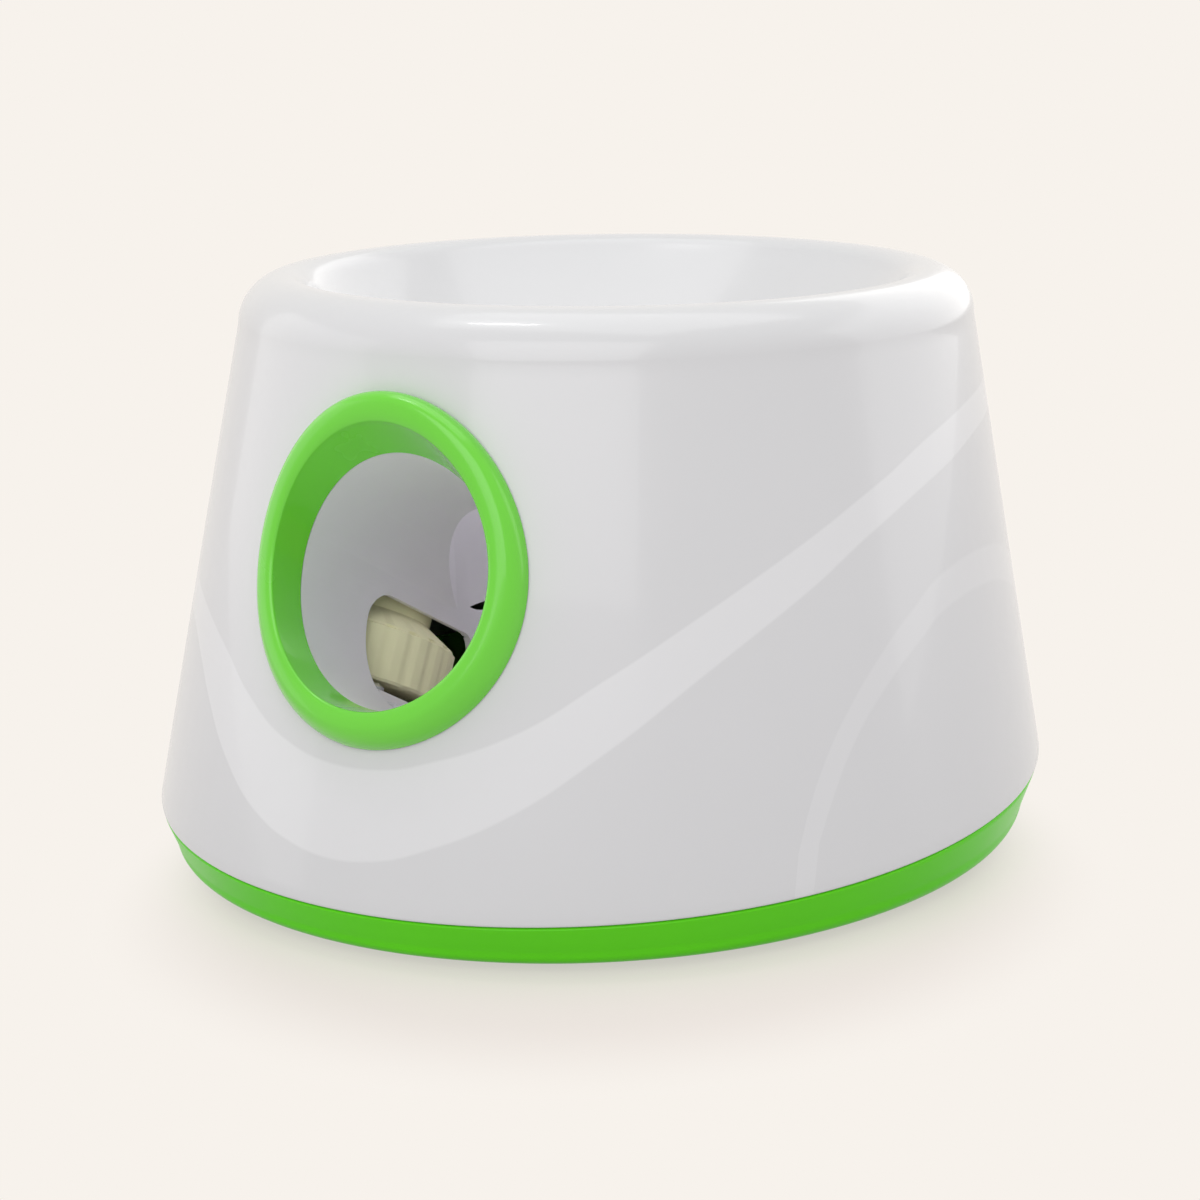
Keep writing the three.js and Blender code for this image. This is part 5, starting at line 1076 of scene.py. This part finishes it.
class LAUNCHER_OT_stage(Operator):
    """Set up the camera, lamps, world and floor"""

    bl_idname = "launcher.stage"
    bl_label = "Stage"

    def execute(self, context):
        scene = context.scene
        scene.view_settings.view_transform = "Standard"
        self.camera(scene)
        self.world(scene)
        self.floor(scene)
        for lamp in LAMPS:
            soft_light(*lamp)
        return {"FINISHED"}

    def camera(self, scene):
        """The photograph's camera."""
        data = bpy.data.cameras.new("camera")
        data.lens = 90
        data.sensor_width = 36
        camera = bpy.data.objects.new("camera", data)
        right = Vector(CAMERA_RIGHT)
        up = Vector(CAMERA_UP)
        camera.matrix_world = frame_matrix(Vector(CAMERA_PLACE), right, up, right.cross(up))
        scene.collection.objects.link(camera)
        scene.camera = camera

    def world(self, scene):
        """An even soft light, and the plain pale surround for the rays that see it."""
        scene.world = bpy.data.worlds.new("surround")
        n = Nodes(scene.world)
        light = n.fed(n.new("Background"), (0.97, 0.98, 1.0, 1), WORLD_LIGHT)
        shown = n.fed(n.new("Background"), scene.launcher_finish.surround)
        mixed = n.fed(n.new("MixShader"), n.seen(), light, shown)
        n.link(mixed, n.new("OutputWorld").inputs["Surface"])

    def floor(self, scene):
        """A floor that glows like the surround for the rays that see it. Near the object, in a patch shifted
        towards the camera, part of that glow gives way to the lit floor in a darker warm tone: a painted
        shadow, in which the real shadow also shows. For the light that the floor throws back, it is darker
        near the object, which paints shade on the lower wall.
        """
        bm = bmesh.new()
        bmesh.ops.create_grid(bm, x_segments=1, y_segments=1, size=14)
        floor = as_object(bm, "floor")
        material = bpy.data.materials.new("floor_pale")
        n = Nodes(material)

        def fade(middle, near, far, low, high):
            """A value that changes smoothly with the distance from a place on the floor."""
            distance = n.new("VectorMath", operation="DISTANCE")
            n.fed(distance, n.place(), (*middle, 0))
            return n.ramp(distance.outputs["Value"], near, far, low, high, "SMOOTHSTEP")

        # Painted shade: the floor's colour for the light that it throws back is darker near the object, so
        # the lower wall of the body gets less light.
        painted_shade_bounce = n.mix(fade((0, 0), 0.2, 0.6, 0.0, 1.0), (0.62, 0.58, 0.6, 1), (0.86, 0.83, 0.82, 1))
        camera = n.new("LightPath").outputs["Is Camera Ray"]
        # The lit floor seen by the camera takes a darker warm tone with less green, against the green light
        # that the base throws on it. This is the colour of the painted shadow.
        lit = n.fed(n.new("BsdfDiffuse"), n.mix(camera, painted_shade_bounce, (0.75, 0.66, 0.62, 1)))
        glow = n.fed(n.new("Emission"), scene.launcher_finish.surround)
        # Painted shadow: in a patch shifted towards the camera, the glow gives way in part to the lit floor.
        # That floor is darker than the glow even where no shadow falls, and the real shadow shows in it too.
        share = n.math("MULTIPLY", n.seen(), fade((0.032, -0.054), 0.105, 0.155, 0.6, 1.0))
        mixed = n.fed(n.new("MixShader"), share, lit, glow)
        n.link(mixed, n.new("OutputMaterial").inputs["Surface"])
        floor.data.materials.append(material)


class LAUNCHER_PT_panel(Panel):
    """Lists the pieces"""

    bl_label = "Ball Launcher"
    bl_idname = "LAUNCHER_PT_panel"
    bl_space_type = "VIEW_3D"
    bl_region_type = "UI"
    bl_category = "Launcher"

    def draw(self, context):
        layout = self.layout
        for group in ("launcher_body", "launcher_port", "launcher_finish"):
            settings = getattr(context.scene, group)
            box = layout.box()
            for key in settings.bl_rna.properties.keys():
                if key not in ("rna_type", "name"):
                    box.prop(settings, key)
        for operator in OPERATORS:
            layout.operator(operator.bl_idname)


GROUPS = {"launcher_body": LauncherBody, "launcher_port": LauncherPort, "launcher_finish": LauncherFinish}
OPERATORS = (
    LAUNCHER_OT_carried,
    LAUNCHER_OT_housing,
    LAUNCHER_OT_base,
    LAUNCHER_OT_port_ring,
    LAUNCHER_OT_barrel,
    LAUNCHER_OT_wheels,
    LAUNCHER_OT_controls,
    LAUNCHER_OT_underside,
    LAUNCHER_OT_stage,
)


def register():
    for group in GROUPS.values():
        bpy.utils.register_class(group)
    for name, group in GROUPS.items():
        setattr(bpy.types.Scene, name, PointerProperty(type=group))
    for cls in (*OPERATORS, LAUNCHER_PT_panel):
        bpy.utils.register_class(cls)


def unregister():
    for cls in (*OPERATORS, LAUNCHER_PT_panel):
        bpy.utils.unregister_class(cls)
    for name, group in GROUPS.items():
        delattr(bpy.types.Scene, name)
        bpy.utils.unregister_class(group)


def main():
    """Build every piece and the stage through the operators."""
    register()
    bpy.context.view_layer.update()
    for operator in OPERATORS:
        name = operator.bl_idname.split(".")[1]
        getattr(bpy.ops.launcher, name)()
    bpy.context.view_layer.update()


if __name__ == "__main__":
    main()
